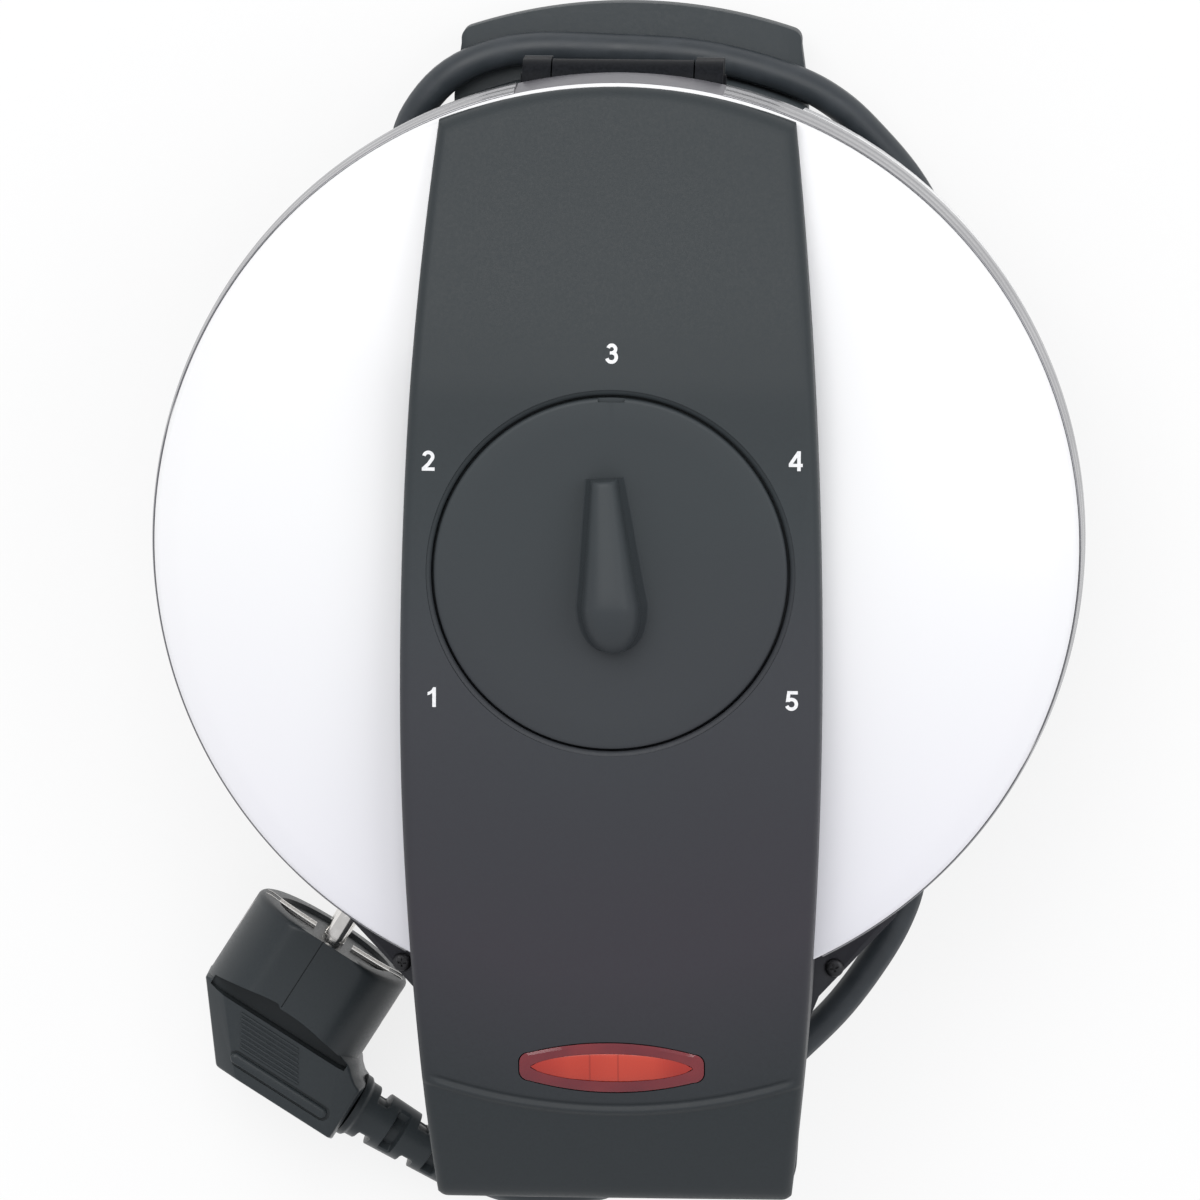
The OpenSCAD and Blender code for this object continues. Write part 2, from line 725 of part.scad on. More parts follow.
module cord_clamp() {
    color("ivory") on_axis() translate([clamp_x, outlet_y, pan_z + pan_t]) difference() {
        translate([-clamp_size.x / 2, -clamp_size.y / 2, 0]) cube(clamp_size);
        translate([-clamp_size.x, 0, clamp_bore_z]) rotate([0, 90, 0])
            cylinder(d = cord_d, h = 2 * clamp_size.x, $fn = 32);
    }
}

poles = 3;
pole_pitch = 8;
pole_bore_r = 1.4;
pole_screw_r = 1.7;
terminal_size = [poles * pole_pitch, 12, 10];
terminal_at = [20, -6];
pole_z = terminal_size.z / 2;

function pole_x(i) = terminal_at.x + (i + 0.5) * pole_pitch;

module terminal_block() {
    color("ivory") on_axis() difference() {
        translate([terminal_at.x, terminal_at.y, pan_z + pan_t]) cube(terminal_size);
        for (i = [0 : poles - 1]) translate([pole_x(i), 0, pan_z + pan_t + pole_z]) {
            rotate([90, 0, 0]) cylinder(r = pole_bore_r, h = 2 * terminal_size.y, center = true, $fn = 24);
            translate([0, 0, pole_bore_r / 2]) cylinder(r = pole_screw_r, h = terminal_size.z, $fn = 24);
        }
    }
}

fuse_size = [12, 10, 14];
fuse_at = [-20, 30];
fuse_button_r = 3;
fuse_button_h = 6;

module thermal_fuse() {
    color("silver") on_axis() translate([fuse_at.x, fuse_at.y, pan_z + pan_t]) {
        translate([-fuse_size.x / 2, -fuse_size.y / 2, 0]) cube(fuse_size);
        translate([0, 0, fuse_size.z - eps]) cylinder(r = fuse_button_r, h = fuse_button_h, $fn = 32);
    }
}

core_pitch = 2.4;
wire_rise = [2, 8, 10];

module base_wiring() {
    z0 = pan_z + pan_t + pole_z;
    z1 = plate_under_z - heater_d - terminal_l - wire_d / 2;
    back_y = terminal_at.y + terminal_size.y + wire_d / 2;
    front_y = terminal_at.y - wire_d / 2;
    color("tomato") on_axis() {
        // from the lead's cores to the terminals
        for (i = [0 : poles - 1]) wire([
            [pole_x(i), back_y, z0],
            [clamp_face_x - 5 * core_pitch + 2 * i * core_pitch, back_y + 3 - i, z0 + wire_rise[0]],
            [clamp_face_x - 2.5 * core_pitch + i * core_pitch, back_y + 5 - i, z0 + wire_rise[0]],
            [clamp_face_x - 1, outlet_y - 2 - i * core_pitch, z0]]);
        // from the terminals to the heater's ends
        for (a = [-1, 1]) wire([
            [pole_x((1 - a) / 2), front_y, z0 + 1],
            [terminal_at.x - pole_pitch - a * 5, front_y - 5, z0 + wire_rise[1]],
            [-a * 12, fuse_at.y + 4, z0 + wire_rise[2]],
            [-a * heater_r * sin(terminal_a), heater_r * cos(terminal_a), z1]]);
    }
}

// Route of the lead from its gland, round the neck, over the rear foot, down the
// right side, in front under the handles and up to the plug
cord_lift = 3.6;
over_foot = rear_foot_z + cord_lift + 0.2;
route = [
    [76, -8, 12], [76, -16, 11.7], [75, -28, 9], [70, -42, 5.5], [60, -56, 4], [44, -69, cord_lift],
    [23, -78, cord_lift], [0, -81, cord_lift], [-24, -78, cord_lift], [-46, -67, cord_lift],
    [-63, -51, cord_lift], [-75, -30, cord_lift], [-80, -6, cord_lift], [-79, 18, cord_lift],
    [-71.5, 40, cord_lift], [-58.5, 58, 4.8], [-50, 72, 9.6], [-46.9, 84.4, 15], [-38.1, 94.9, over_foot + 0.2],
    [-24, 100.1, over_foot], [-4, 100.3, over_foot], [16, 99, over_foot], [34, 94.4, over_foot],
    [44.6, 88.8, 16], [53, 80.5, 12.9], [59.7, 72, 9.6], [65.5, 61.8, 6.8], [72.2, 50, 4.8], [80, 38, cord_lift],
    [87, 25, cord_lift], [90.2, 11, cord_lift], [90.8, -4, cord_lift], [88.8, -20, cord_lift], [84, -36, cord_lift],
    [76.4, -49.5, cord_lift], [69, -60.5, cord_lift], [64.2, -70, cord_lift], [61.7, -78.5, cord_lift],
    [59.6, -86.5, cord_lift], [55, -95.8, cord_lift], [46.4, -108, cord_lift], [36.3, -118.4, cord_lift],
    [26, -128, cord_lift], [13.5, -137.8, cord_lift + 0.4],
    [-3, -147.5, 6], [-20, -150, 10], [-33.4, -145.1, 14.4]];
cord_sides = 10;
rings_per_step = 2;

cord_line = curve(route, rings_per_step);
cord_last = len(cord_line) - 1;
cord_steps = [for (i = [1 : cord_last]) norm(cord_line[i] - cord_line[i - 1])];
cord_apart = 6;
cord_gap = min([for (i = [0 : cord_last - cord_apart]) for (j = [i + cord_apart : cord_last])
                norm(cord_line[i] - cord_line[j])]) - cord_d;
echo(cord_length = total(cord_steps), least_gap_to_itself = cord_gap);

module power_cord() { color("dimgray") on_axis() tube(cord_line, cord_d, cord_sides); }

// The plug lies on its round head beside the handle. In its own frame the pins
// point to +X, the lead leaves to +Y and the middle of its face is the origin.
plug_at = [-62.8, -92.2];
plug_turn = 57.8;
relief_back = 29.2;
relief_start = 22;

module plug_place() {
    on_axis() translate([plug_at.x, plug_at.y, plug_d / 2]) rotate(plug_turn) mirror([0, 1, 0]) children();
}

plug_back = 37;
plug_edge = 2;
grip_start = 4;
grip_in = 5;
grip_slope_v = -6.3;
grip_nose_w = 7;

module plug_body() {
    r = plug_d / 2;
    color("dimgray") plug_place() {
        rotate([0, -90, 0]) {
            cylinder(r = r, h = plug_head_l - plug_edge);
            translate([0, 0, plug_head_l - plug_edge - eps]) cylinder(r1 = r, r2 = r - plug_edge, h = plug_edge + eps);
        }
        translate([0, 0, -plug_grip_t / 2]) linear_extrude(plug_grip_t)
            offset(r = plug_edge, $fn = 32) offset(delta = -plug_edge) polygon([
                [-grip_start, -r + grip_in], [-plug_head_l, -r + plug_edge / 3], [-plug_back, grip_slope_v],
                [-plug_back, relief_start], [-relief_back + grip_nose_w, relief_start],
                [-plug_head_l + plug_edge, r - plug_edge], [-grip_start, r - grip_in]]);
    }
}

pin_nose = 1.5;

module plug_pins() {
    color("silver") plug_place() for (s = [-1, 1])
        translate([eps, 0, s * plug_pin_pitch / 2]) rotate([0, 90, 0]) {
            cylinder(d = plug_pin_d, h = plug_pin_l - pin_nose, $fn = 32);
            translate([0, 0, plug_pin_l - pin_nose - eps])
                cylinder(d1 = plug_pin_d, d2 = plug_pin_d - 1.4 * pin_nose, h = pin_nose, $fn = 32);
        }
}

clip_w = 5;
clip_t = 0.8;
clip_l = 12;
clip_side_l = 12;

module plug_earth_clips() {
    r = plug_d / 2;
    color("silver") plug_place() for (s = [0, 1]) mirror([0, s, 0]) {
        translate([eps, r - clip_l, -clip_w / 2]) cube([clip_t, clip_l + clip_t, clip_w]);
        translate([-clip_side_l, r + 2 * eps, -clip_w / 2]) cube([clip_side_l + clip_t, clip_t, clip_w]);
    }
}

relief_tip = [-33.4, -145.1, 14.4];

relief_r = [6.4, 4.6];
relief_ribs = 4;
relief_rib_pitch = 7;
relief_rib_w = 4;

module plug_strain_relief() {
    along = relief_start + relief_tip_wall;
    start = [plug_at.x, plug_at.y, plug_d / 2]
        + [-relief_back * cos(plug_turn) + along * sin(plug_turn),
           -relief_back * sin(plug_turn) - along * cos(plug_turn), 0];
    d = relief_tip - start;
    l = norm(d);
    color("black") on_axis() translate(start) rotate([0, acos(d.z / l), atan2(d.y, d.x)])
        union() {
            cylinder(r1 = relief_r[0], r2 = relief_r[1], h = l - fit, $fn = 48);
            for (i = [0 : relief_ribs - 1]) translate([0, 0, 1 + i * relief_rib_pitch])
                cylinder(r = relief_r[0] + 0.5 - i * (relief_r[0] - relief_r[1]) / relief_ribs,
                         h = relief_rib_w, $fn = 48);
        }
}

// Holes in the dome
spindle_hole_r = 6;
saddle_post_x = [20, 22];
saddle_post_in = [36, 26];
saddle_posts = [[saddle_post_x[0], shell_r - saddle_post_in[0]], [saddle_post_x[1], saddle_post_in[1] - shell_r]];
saddle_post_r = 4;
saddle_bore_r = 1.4;

module at_saddle_posts() {
    for (p = saddle_posts) for (s = [-1, 1]) translate([s * p.x, p.y, 0]) children();
}

barrel_room = 1.5;
trim_foot = 0.6;
trim_slope = wall_draft / upper_wall_h;
wire_hole_r = 4;

handle_wire_z = upper_foot_z + 2 * wire_hole_r;

module upper_shell() {
    color("white") on_axis() difference() {
        union() {
            difference() {
                intersection() {
                    dome_solid(0);
                    translate([0, 0, rim_z - eps]) cylinder(r = shell_r, h = saddle_z, $fn = 180);
                }
                dome_solid(-shell_t);
            }
            rotate_extrude($fn = 180) shell_ring(upper_foot_z, true, upper_wall_h);
        }
        // the hinge's place in the rear wall, behind the hinge cover
        translate([-hinge_gap_w / 2, hinge_y - barrel_r - 2 * barrel_room, 0])
            cube([hinge_gap_w, shell_r, upper_foot_z + trim_h + trim_foot]);
        translate([0, dial_y, 0]) cylinder(r = spindle_hole_r, h = 2 * saddle_z);
        at_saddle_posts() cylinder(r = saddle_bore_r + 2 * fit, h = 2 * saddle_z, $fn = 32);
        // way of the lamp's wires into the handle
        translate([0, -shell_r, handle_wire_z]) rotate([90, 0, 0])
            cylinder(r = wire_hole_r, h = wire_hole_r * 6, center = true);
    }
}

// The polished trim lies on the shell's wall and is open at the hinge cover
module rim_trim() {
    r0 = foot_wall_r - trim_foot * trim_slope + 2 * eps;
    r1 = r0 - trim_h * trim_slope;
    z0 = upper_foot_z + trim_foot;
    w = half_w(-shell_r) + fit;
    color("silver") on_axis() difference() {
        rotate_extrude($fn = 180)
            polygon([[r0, z0], [r0 + trim_t, z0], [r1 + trim_t, z0 + trim_h], [r1, z0 + trim_h]]);
        translate([-hinge_gap_w / 2, 0, 0]) cube([hinge_gap_w, 2 * shell_r, saddle_z]);
        translate([-w, -2 * shell_r, 0]) cube([2 * w, 2 * shell_r, saddle_z]);
    }
}

hinge_cover_t = 1.4;

module hinge_cover() {
    top_z = upper_foot_z + trim_h + 2 * fit;
    color("gray") on_axis() intersection() {
        rotate_extrude($fn = 180) polygon([
            [foot_wall_r - hinge_cover_t, upper_foot_z], [foot_wall_r, upper_foot_z],
            [shell_r + fit / 2, top_z], [shell_r - hinge_cover_t, top_z]]);
        translate([-hinge_gap_w / 2 + fit, 0, 0]) cube([hinge_gap_w - 2 * fit, 2 * shell_r, saddle_z]);
    }
}

arm_x = 2;
arm_w = 11;
arm_t = 3;
arm_foot_l = 17;
arm_foot_t = 2;
arm_y = hinge_y - barrel_r - 0.1;
reflector_gap = 1;
upper_reflector_z = plate_back_z + heater_d + reflector_gap;
arm_top_z = upper_reflector_z + reflector_t;

module hinge_arms() {
    color("silver") on_axis() difference() {
        union() {
            translate([0, hinge_y, hinge_z]) rotate([0, 90, 0])
                cylinder(r = barrel_r, h = lid_barrel_w, center = true);
            for (s = [-1, 1]) translate([s * (arm_x + arm_w / 2) - arm_w / 2, arm_y, 0]) {
                translate([0, 0, hinge_z]) cube([arm_w, arm_t, arm_top_z + arm_foot_t - hinge_z]);
                translate([0, -arm_foot_l, arm_top_z]) cube([arm_w, arm_foot_l + arm_t, arm_foot_t]);
            }
        }
        rotate([0, 90, 0]) translate([-hinge_z, hinge_y, 0])
            cylinder(d = hinge_pin_d + 2 * running, h = 2 * shell_r, center = true);
    }
}

// Top line of the saddle and handle, from the rear to the handle's end. The
// stations are distances inside the shells' edge, with drops below the top.
rear_in = [-4, 6, 26, 43];
rear_up = [2.2, 4.4];
rear_down = [9.8, 4.4];
dial_flat_in = 9;
dial_out = [2, 6];
dial_down = [1.2, 0.8];
front_in = [38, 18, -2];
front_down = [3.2, 7.6, 13.2];
ridge_down = [18.8, 19.6];
ridge_back = 0.4;
end_in = [6, 1.5];
end_up = [2.6, 0.6, -1.5];
end_z = plane_z + handle_end_h;
top_line = [
    [shell_r - rear_in[0], rim_z + rear_up[0]], [shell_r - rear_in[1], rim_z + rear_up[1]],
    [shell_r - rear_in[2], saddle_z - rear_down[0]], [shell_r - rear_in[3], saddle_z - rear_down[1]],
    [recess_r + dial_out[0], saddle_z - dial_down[0]], [recess_r - dial_flat_in, saddle_z],
    [-recess_r + dial_flat_in, saddle_z], [-recess_r - dial_out[1], saddle_z - dial_down[1]],
    for (i = [0 : 2]) [-shell_r + front_in[i], saddle_z - front_down[i]],
    [-ridge_r + ridge_back, saddle_z - ridge_down[0]]];
front_line = [
    [-ridge_r + ridge_back, saddle_z - ridge_down[1]], [-handle_reach + end_in[0], end_z + end_up[0]],
    [-handle_reach + end_in[1], end_z + end_up[1]], [-handle_reach, end_z + end_up[2]]];
under_cover_h = 5.3;
handle_under_z = plane_z + under_cover_h;

// Everything under the top line, moved up by some rise
module under_top(rise) {
    translate([0, 0, rise]) rotate([90, 0, 90]) linear_extrude(2 * saddle_w, center = true)
        polygon(concat(top_line, front_line, [[-handle_reach, pan_z], [shell_r - rear_in[0], pan_z]]));
}

module saddle_block(inset, rise) {
    intersection() {
        linear_extrude(2 * saddle_z) intersection() {
            saddle_plan(inset);
            union() {
                circle(r = shell_r - inset, $fn = 360);
                translate([-saddle_w, -handle_reach + inset]) square([2 * saddle_w, handle_reach - inset]);
            }
        }
        under_top(rise);
    }
}

dial_room = 0.6;
recess_floor_z = saddle_z - dial_t - dial_room;
recess_wall = 2;
ridge_w = 1.2;
ridge_rise = 0.55;
ridge_depth = 24;
ridge_foot_z = saddle_z - ridge_depth;
saddle_screw_room = 5;

module saddle() {
    color("dimgray") on_axis() difference() {
        union() {
            difference() {
                saddle_block(0, 0);
                saddle_block(saddle_t, -saddle_t);
            }
            intersection() {
                saddle_block(0, 0);
                union() {
                    translate([0, dial_y, recess_floor_z - recess_wall])
                        cylinder(r = recess_r + recess_wall, h = saddle_z, $fn = 180);
                    at_saddle_posts() cylinder(r = saddle_post_r, h = 2 * saddle_z, $fn = 32);
                }
            }
            // ridge across the handle
            intersection() {
                saddle_block(0, ridge_rise);
                difference() {
                    cylinder(r = ridge_r + ridge_w / 2, h = saddle_z, $fn = 360);
                    translate([0, 0, -through]) cylinder(r = ridge_r - ridge_w / 2, h = saddle_z + 2 * through, $fn = 360);
                    translate([-2 * ridge_r, 0, -through]) cube([4 * ridge_r, 2 * ridge_r, saddle_z + 2 * through]);
                }
                translate([0, 0, ridge_foot_z]) linear_extrude(saddle_z) saddle_plan(0);
            }
        }
        dome_solid(fit);
        translate([0, 0, -through]) cylinder(r = foot_wall_r + trim_t + fit, h = rim_z + through, $fn = 360);
        translate([-2 * handle_reach, -2 * handle_reach, -through])
            cube([4 * handle_reach, 4 * handle_reach, handle_under_z + through]);
        translate([0, dial_y, recess_floor_z]) cylinder(r = recess_r, h = saddle_z, $fn = 180);
        translate([0, dial_y, 0]) cylinder(r = spindle_hole_r, h = 2 * saddle_z);
        for (p = saddle_posts) for (s = [-1, 1]) translate([s * p.x, p.y, 0])
            cylinder(r = saddle_bore_r, h = dome_height(norm(p)) + saddle_screw_room, $fn = 32);
        translate([0, lens_y, handle_under_z]) linear_extrude(saddle_z) lens_plan(0);
    }
}

saddle_head_r = 3;
saddle_head_h = 1.6;
saddle_screw_l = saddle_screw_room + saddle_head_h - 0.1;

module saddle_screws() {
    color("gainsboro") on_axis() for (p = saddle_posts) for (s = [-1, 1]) {
        z = dome_height(norm(p) + saddle_head_r) - shell_t - saddle_head_h - fit;
        translate([s * p.x, p.y, z]) screw(saddle_bore_r - 0.1, saddle_screw_l, saddle_head_r, saddle_head_h);
    }
}

lens_corner_r = 0.8;
lens_t = 2.6;
lens_proud = 0.7;
lens_gap = 0.15;

// Outline of the lamp window: two shallow bows and short upright ends
module lens_plan(inset) {
    bow = (lens_h - lens_end_h) / 2;
    bow_r = (pow(lens_w / 2, 2) + pow(bow, 2)) / (2 * bow);
    offset(r = lens_corner_r - inset, $fn = 32) offset(delta = -lens_corner_r) intersection() {
        translate([0, lens_h / 2 - bow_r]) circle(r = bow_r, $fn = 360);
        translate([0, bow_r - lens_h / 2]) circle(r = bow_r, $fn = 360);
        square([lens_w, lens_h * 2], center = true);
    }
}

module indicator_lens() {
    color("red") on_axis() difference() {
        intersection() {
            translate([0, lens_y, handle_under_z]) linear_extrude(saddle_z) lens_plan(lens_gap);
            under_top(lens_proud);
        }
        under_top(-lens_t);
    }
}

lamp_r = 2;
lamp_l = 18;
lamp_post = [3, 6];
lamp_drop = 22.3;

module indicator_lamp() {
    z = saddle_z - lamp_drop;
    color("orange") on_axis() translate([0, lens_y, z]) {
        rotate([0, 90, 0]) cylinder(r = lamp_r, h = lamp_l, center = true, $fn = 32);
        for (s = [-1, 1]) translate([s * (lamp_l + lamp_post.x / 3) / 2, 0, handle_under_z - z + fit])
            translate([-lamp_post.x / 2, -lamp_post.y / 2, 0]) cube([lamp_post.x, lamp_post.y, z - handle_under_z + lamp_r]);
    }
}

under_cover_t = 2.2;
cover_screw_x = 26;
cover_screw_in = 14;
cover_screw_y = -handle_reach + cover_screw_in;
cover_bore_r = 1.6;
cover_post_r = 3.6;
cover_head_r = 2.8;
cover_head_h = 1.5;
cover_screw_l = 7.5;

module at_cover_screws() {
    for (s = [-1, 1]) translate([s * cover_screw_x, cover_screw_y, 0]) children();
}

module handle_under_cover() {
    r_in = foot_wall_r + trim_t + fit;
    foot_z = plane_z + seat / 2;
    h = handle_under_z - fit / 2 - foot_z;
    color("dimgray") on_axis() difference() {
        union() {
            difference() {
                translate([0, 0, foot_z]) linear_extrude(h) handle_plan(2 * fit);
                translate([0, 0, foot_z + under_cover_t]) linear_extrude(h) intersection() {
                    handle_plan(handle_wall + 2 * fit);
                    translate([-saddle_w, -handle_reach + handle_end_wall / 2])
                        square([2 * saddle_w, handle_reach - handle_end_wall / 2 - r_in - handle_wall]);
                }
            }
            at_cover_screws() translate([0, 0, foot_z]) cylinder(r = cover_post_r, h = h, $fn = 32);
        }
        cylinder(r = r_in, h = saddle_z, $fn = 360);
        at_cover_screws() {
            cylinder(r = cover_bore_r, h = saddle_z, $fn = 32);
            cylinder(r = cover_head_r + fit, h = plane_z + cover_head_h + 2.5 * fit, $fn = 32);
        }
    }
}

module handle_cover_screws() {
    color("gainsboro") on_axis() at_cover_screws() translate([0, 0, plane_z + 2 * fit])
        screw(cover_bore_r - fit, cover_screw_l, cover_head_r, cover_head_h);
}

module upper_plate() {
    color("slategray") on_axis() translate([0, 0, upper_face_z]) difference() {
        union() {
            mirror([0, 0, 1]) plate_solid();
            around(3, post_pitch_r, post_first) translate([0, 0, plate_t - eps])
                cylinder(r = boss_r, h = heater_d + reflector_gap + eps);
        }
        engraving();
        around(3, post_pitch_r, post_first) translate([0, 0, plate_t])
            cylinder(r = boss_bore_r, h = heater_d + reflector_gap + through);
    }
}

module upper_heater() { color("rosybrown") on_axis() heater(true); }

module upper_reflector() {
    color("silver") on_axis() translate([0, 0, upper_reflector_z]) difference() {
        rotate_extrude($fn = 120) translate([reflector_hole_r, 0])
            square([plate_r + 1.5 - reflector_hole_r, reflector_t]);
        reflector_holes();
    }
}

upper_screw_l = 6;

module upper_plate_screws() {
    color("gainsboro") on_axis() around(3, post_pitch_r, post_first)
        translate([0, 0, arm_top_z + screw_head_h]) mirror([0, 0, 1])
            screw(boss_bore_r - running, upper_screw_l, screw_head_r, screw_head_h);
}

thermostat_r = 13;
thermostat_h = 8;
thermostat_neck_r = 5;
thermostat_neck_h = 3;
thermostat_tab = [4, 6, 3];
spindle_seat_z = 3;
bracket_size = [48, 18, 4];
bracket_t = 2;
bracket_foot_l = 8;
bracket_screw_x = 20;
bracket_h = bracket_size.z;

module thermostat_bracket() {
    color("silver") on_axis() translate([0, dial_y, arm_top_z]) difference() {
        translate([-bracket_size.x / 2, -bracket_size.y / 2, 0]) cube(bracket_size);
        translate([-bracket_size.x / 2 + bracket_foot_l, -bracket_size.y, -through])
            cube([bracket_size.x - 2 * bracket_foot_l, 2 * bracket_size.y, bracket_h - bracket_t / 2]);
        for (s = [-1, 1]) translate([s * bracket_screw_x, 0, -through])
            cylinder(r = cover_bore_r, h = 2 * bracket_h, $fn = 24);
    }
}

module thermostat() {
    color("ivory") on_axis() translate([0, dial_y, arm_top_z + bracket_h]) difference() {
        union() {
            cylinder(r = thermostat_r, h = thermostat_h);
            cylinder(r = thermostat_neck_r, h = thermostat_h + thermostat_neck_h);
            translate([-thermostat_tab.x / 2, thermostat_r - 2, 1])
                cube([thermostat_tab.x, thermostat_tab.y + 2, thermostat_tab.z]);
        }
        translate([0, 0, spindle_seat_z]) cylinder(r = spindle_r + running, h = 2 * thermostat_h);
    }
}

heater_tail = [10, 22];

module upper_wiring() {
    z = arm_top_z + bracket_h + 1 + thermostat_tab.z / 2;
    lead_x = 3;
    lamp_wire_in = [28, 10, 5];
    color("tomato") on_axis() {
        // to the lamp
        wire([
            [0, dial_y - thermostat_r - wire_d / 2, z], [2 * lead_x, dial_y - 3 * thermostat_r, z],
            [lead_x + 1, -shell_r + lamp_wire_in[0], z - 2.5], [lead_x, -shell_r + lamp_wire_in[1], z - 5],
            [lead_x - 1, -shell_r + lamp_wire_in[2], handle_wire_z + 1], [lead_x - 1, -shell_r - 8, handle_wire_z],
            [lead_x - 1, lens_y, handle_under_z + 4]]);
        // to the heater's ends
        for (a = [-1, 1]) wire([
            [-a * heater_r * sin(terminal_a), heater_r * cos(terminal_a), plate_back_z + heater_d + terminal_l + wire_d / 2],
            [-a * heater_tail.x, heater_r - heater_tail.y, z],
            [-a * lead_x, dial_y + thermostat_r + thermostat_tab.y + 1 + wire_d / 2, z]]);
    }
}

// Grip of the dial: a round heel that narrows to the pointing end
grip_heel_y = [-9, -4];
grip_tip_w = 5.6;
grip_foot = 2;
grip_edges = [0, 0.7, 1.8];
grip_edge_h = 1.5;
grip_sink = 1;
dial_edge = 0.5;

module grip_plan(inset) {
    hull() {
        for (y = grip_heel_y) translate([0, y]) circle(r = grip_heel_r - inset, $fn = 48);
        translate([-grip_tip_w / 2 + inset, grip_tip - grip_tip_w / 2 - inset])
            square([grip_tip_w - 2 * inset, grip_tip_w / 2]);
    }
}

module dial_knob() {
    r = recess_r - dial_gap;
    top = saddle_z - recess_floor_z;
    color("dimgray") on_axis() translate([0, dial_y, recess_floor_z]) difference() {
        union() {
            translate([0, 0, top - dial_t]) cylinder(r = r, h = dial_t - dial_edge, $fn = 180);
            translate([0, 0, top - dial_edge - eps]) cylinder(r1 = r, r2 = r - dial_edge, h = dial_edge, $fn = 180);
            translate([0, 0, top - grip_sink]) rotate(grip_turn) {
                linear_extrude(grip_h - grip_foot) grip_plan(grip_edges[0]);
                translate([0, 0, grip_h - grip_foot - eps]) linear_extrude(grip_edge_h) grip_plan(grip_edges[1]);
                translate([0, 0, grip_h + grip_sink - grip_edge_h - 2 * eps])
                    linear_extrude(grip_edge_h) grip_plan(grip_edges[2]);
            }
        }
        translate([0, 0, -through]) cylinder(r = spindle_r + running, h = top + 2 * dial_t - through);
    }
}

module dial_spindle() {
    z0 = arm_top_z + bracket_h + spindle_seat_z + seat;
    color("gold") on_axis() translate([0, dial_y, z0]) cylinder(r = spindle_r, h = saddle_z + dial_t + dial_edge - z0);
}

clip_ring_t = 0.5;
clip_ring_w = 1.6;

module dial_spring_clip() {
    color("silver") on_axis() translate([0, dial_y, recess_floor_z + running]) difference() {
        cylinder(r = spindle_r + clip_ring_w, h = clip_ring_t, $fn = 32);
        translate([0, 0, -through]) cylinder(r = spindle_r + 2 * eps, h = 3 * through);
        translate([-clip_ring_w / 2, 0, -through]) cube([clip_ring_w, 2 * spindle_r + clip_ring_w, 3 * through]);
    }
}

base_pan();
base_flare();
lower_shell();
lower_plate();
lower_heater();
lower_reflector();
lower_plate_screws();
rubber_feet();
hinge_block();
hinge_pin();
lower_handle();
lower_handle_cover();
lower_handle_screws();
cord_gland();
cord_clamp();
terminal_block();
thermal_fuse();
base_wiring();
power_cord();
plug_body();
plug_pins();
plug_earth_clips();
plug_strain_relief();
upper_shell();
rim_trim();
hinge_cover();
hinge_arms();
saddle();
saddle_screws();
handle_under_cover();
handle_cover_screws();
indicator_lens();
indicator_lamp();
upper_plate();
upper_heater();
upper_reflector();
upper_plate_screws();
thermostat();
thermostat_bracket();
upper_wiring();
dial_knob();
dial_spindle();
dial_spring_clip();
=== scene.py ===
import json
import math

import bmesh
import bpy
from mathutils import Matrix, Vector


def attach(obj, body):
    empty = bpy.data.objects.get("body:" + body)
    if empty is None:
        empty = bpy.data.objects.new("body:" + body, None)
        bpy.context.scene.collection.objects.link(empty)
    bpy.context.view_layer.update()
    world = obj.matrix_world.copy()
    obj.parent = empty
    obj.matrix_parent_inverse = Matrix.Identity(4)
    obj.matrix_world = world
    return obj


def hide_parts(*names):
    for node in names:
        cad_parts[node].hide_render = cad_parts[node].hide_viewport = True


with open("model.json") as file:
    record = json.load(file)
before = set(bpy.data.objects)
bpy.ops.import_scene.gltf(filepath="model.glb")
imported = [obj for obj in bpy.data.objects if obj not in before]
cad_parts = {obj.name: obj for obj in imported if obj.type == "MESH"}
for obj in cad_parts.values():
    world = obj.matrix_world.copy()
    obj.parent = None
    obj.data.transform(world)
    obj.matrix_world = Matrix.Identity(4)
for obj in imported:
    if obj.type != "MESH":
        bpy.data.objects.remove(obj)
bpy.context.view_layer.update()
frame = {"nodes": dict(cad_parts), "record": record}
print("krumkake iron: frame loaded")

# Lengths below are in millimetres about the baking axis, which stands 16 mm behind the frame's origin.
bakingAxisY = 16


def place(x, y, z):
    return Vector((x, y + bakingAxisY, z)) / 1000


def addMesh(name, points, faces, sharpAngle=40, metres=False):
    mesh = bpy.data.meshes.new(name)
    mesh.from_pydata([p if metres else place(*p) for p in points], [], faces)
    tidy = bmesh.new()
    tidy.from_mesh(mesh)
    bmesh.ops.remove_doubles(tidy, verts=tidy.verts, dist=1e-6)
    bmesh.ops.dissolve_degenerate(tidy, edges=tidy.edges, dist=1e-7)
    bmesh.ops.recalc_face_normals(tidy, faces=tidy.faces)
    tidy.to_mesh(mesh)
    tidy.free()
    mesh.shade_smooth()
    mesh.set_sharp_from_angle(angle=math.radians(sharpAngle))
    obj = bpy.data.objects.new(name, mesh)
    bpy.context.collection.objects.link(obj)
    return obj


def settled(obj, sharpAngle=40):
    # the object's modifiers are applied to its mesh
    evaluated = obj.evaluated_get(bpy.context.evaluated_depsgraph_get())
    mesh = bpy.data.meshes.new_from_object(evaluated)
    obj.modifiers.clear()
    obj.data = mesh
    mesh.shade_smooth()
    mesh.set_sharp_from_angle(angle=math.radians(sharpAngle))
    return obj


def cutAway(obj, *cutters, operation="DIFFERENCE", sharpAngle=40):
    for cutter in cutters:
        knife = obj.modifiers.new("cut", "BOOLEAN")
        knife.operation = operation
        knife.solver = "EXACT"
        knife.object = cutter
    settled(obj, sharpAngle)
    for cutter in cutters:
        bpy.data.objects.remove(cutter)
    return obj


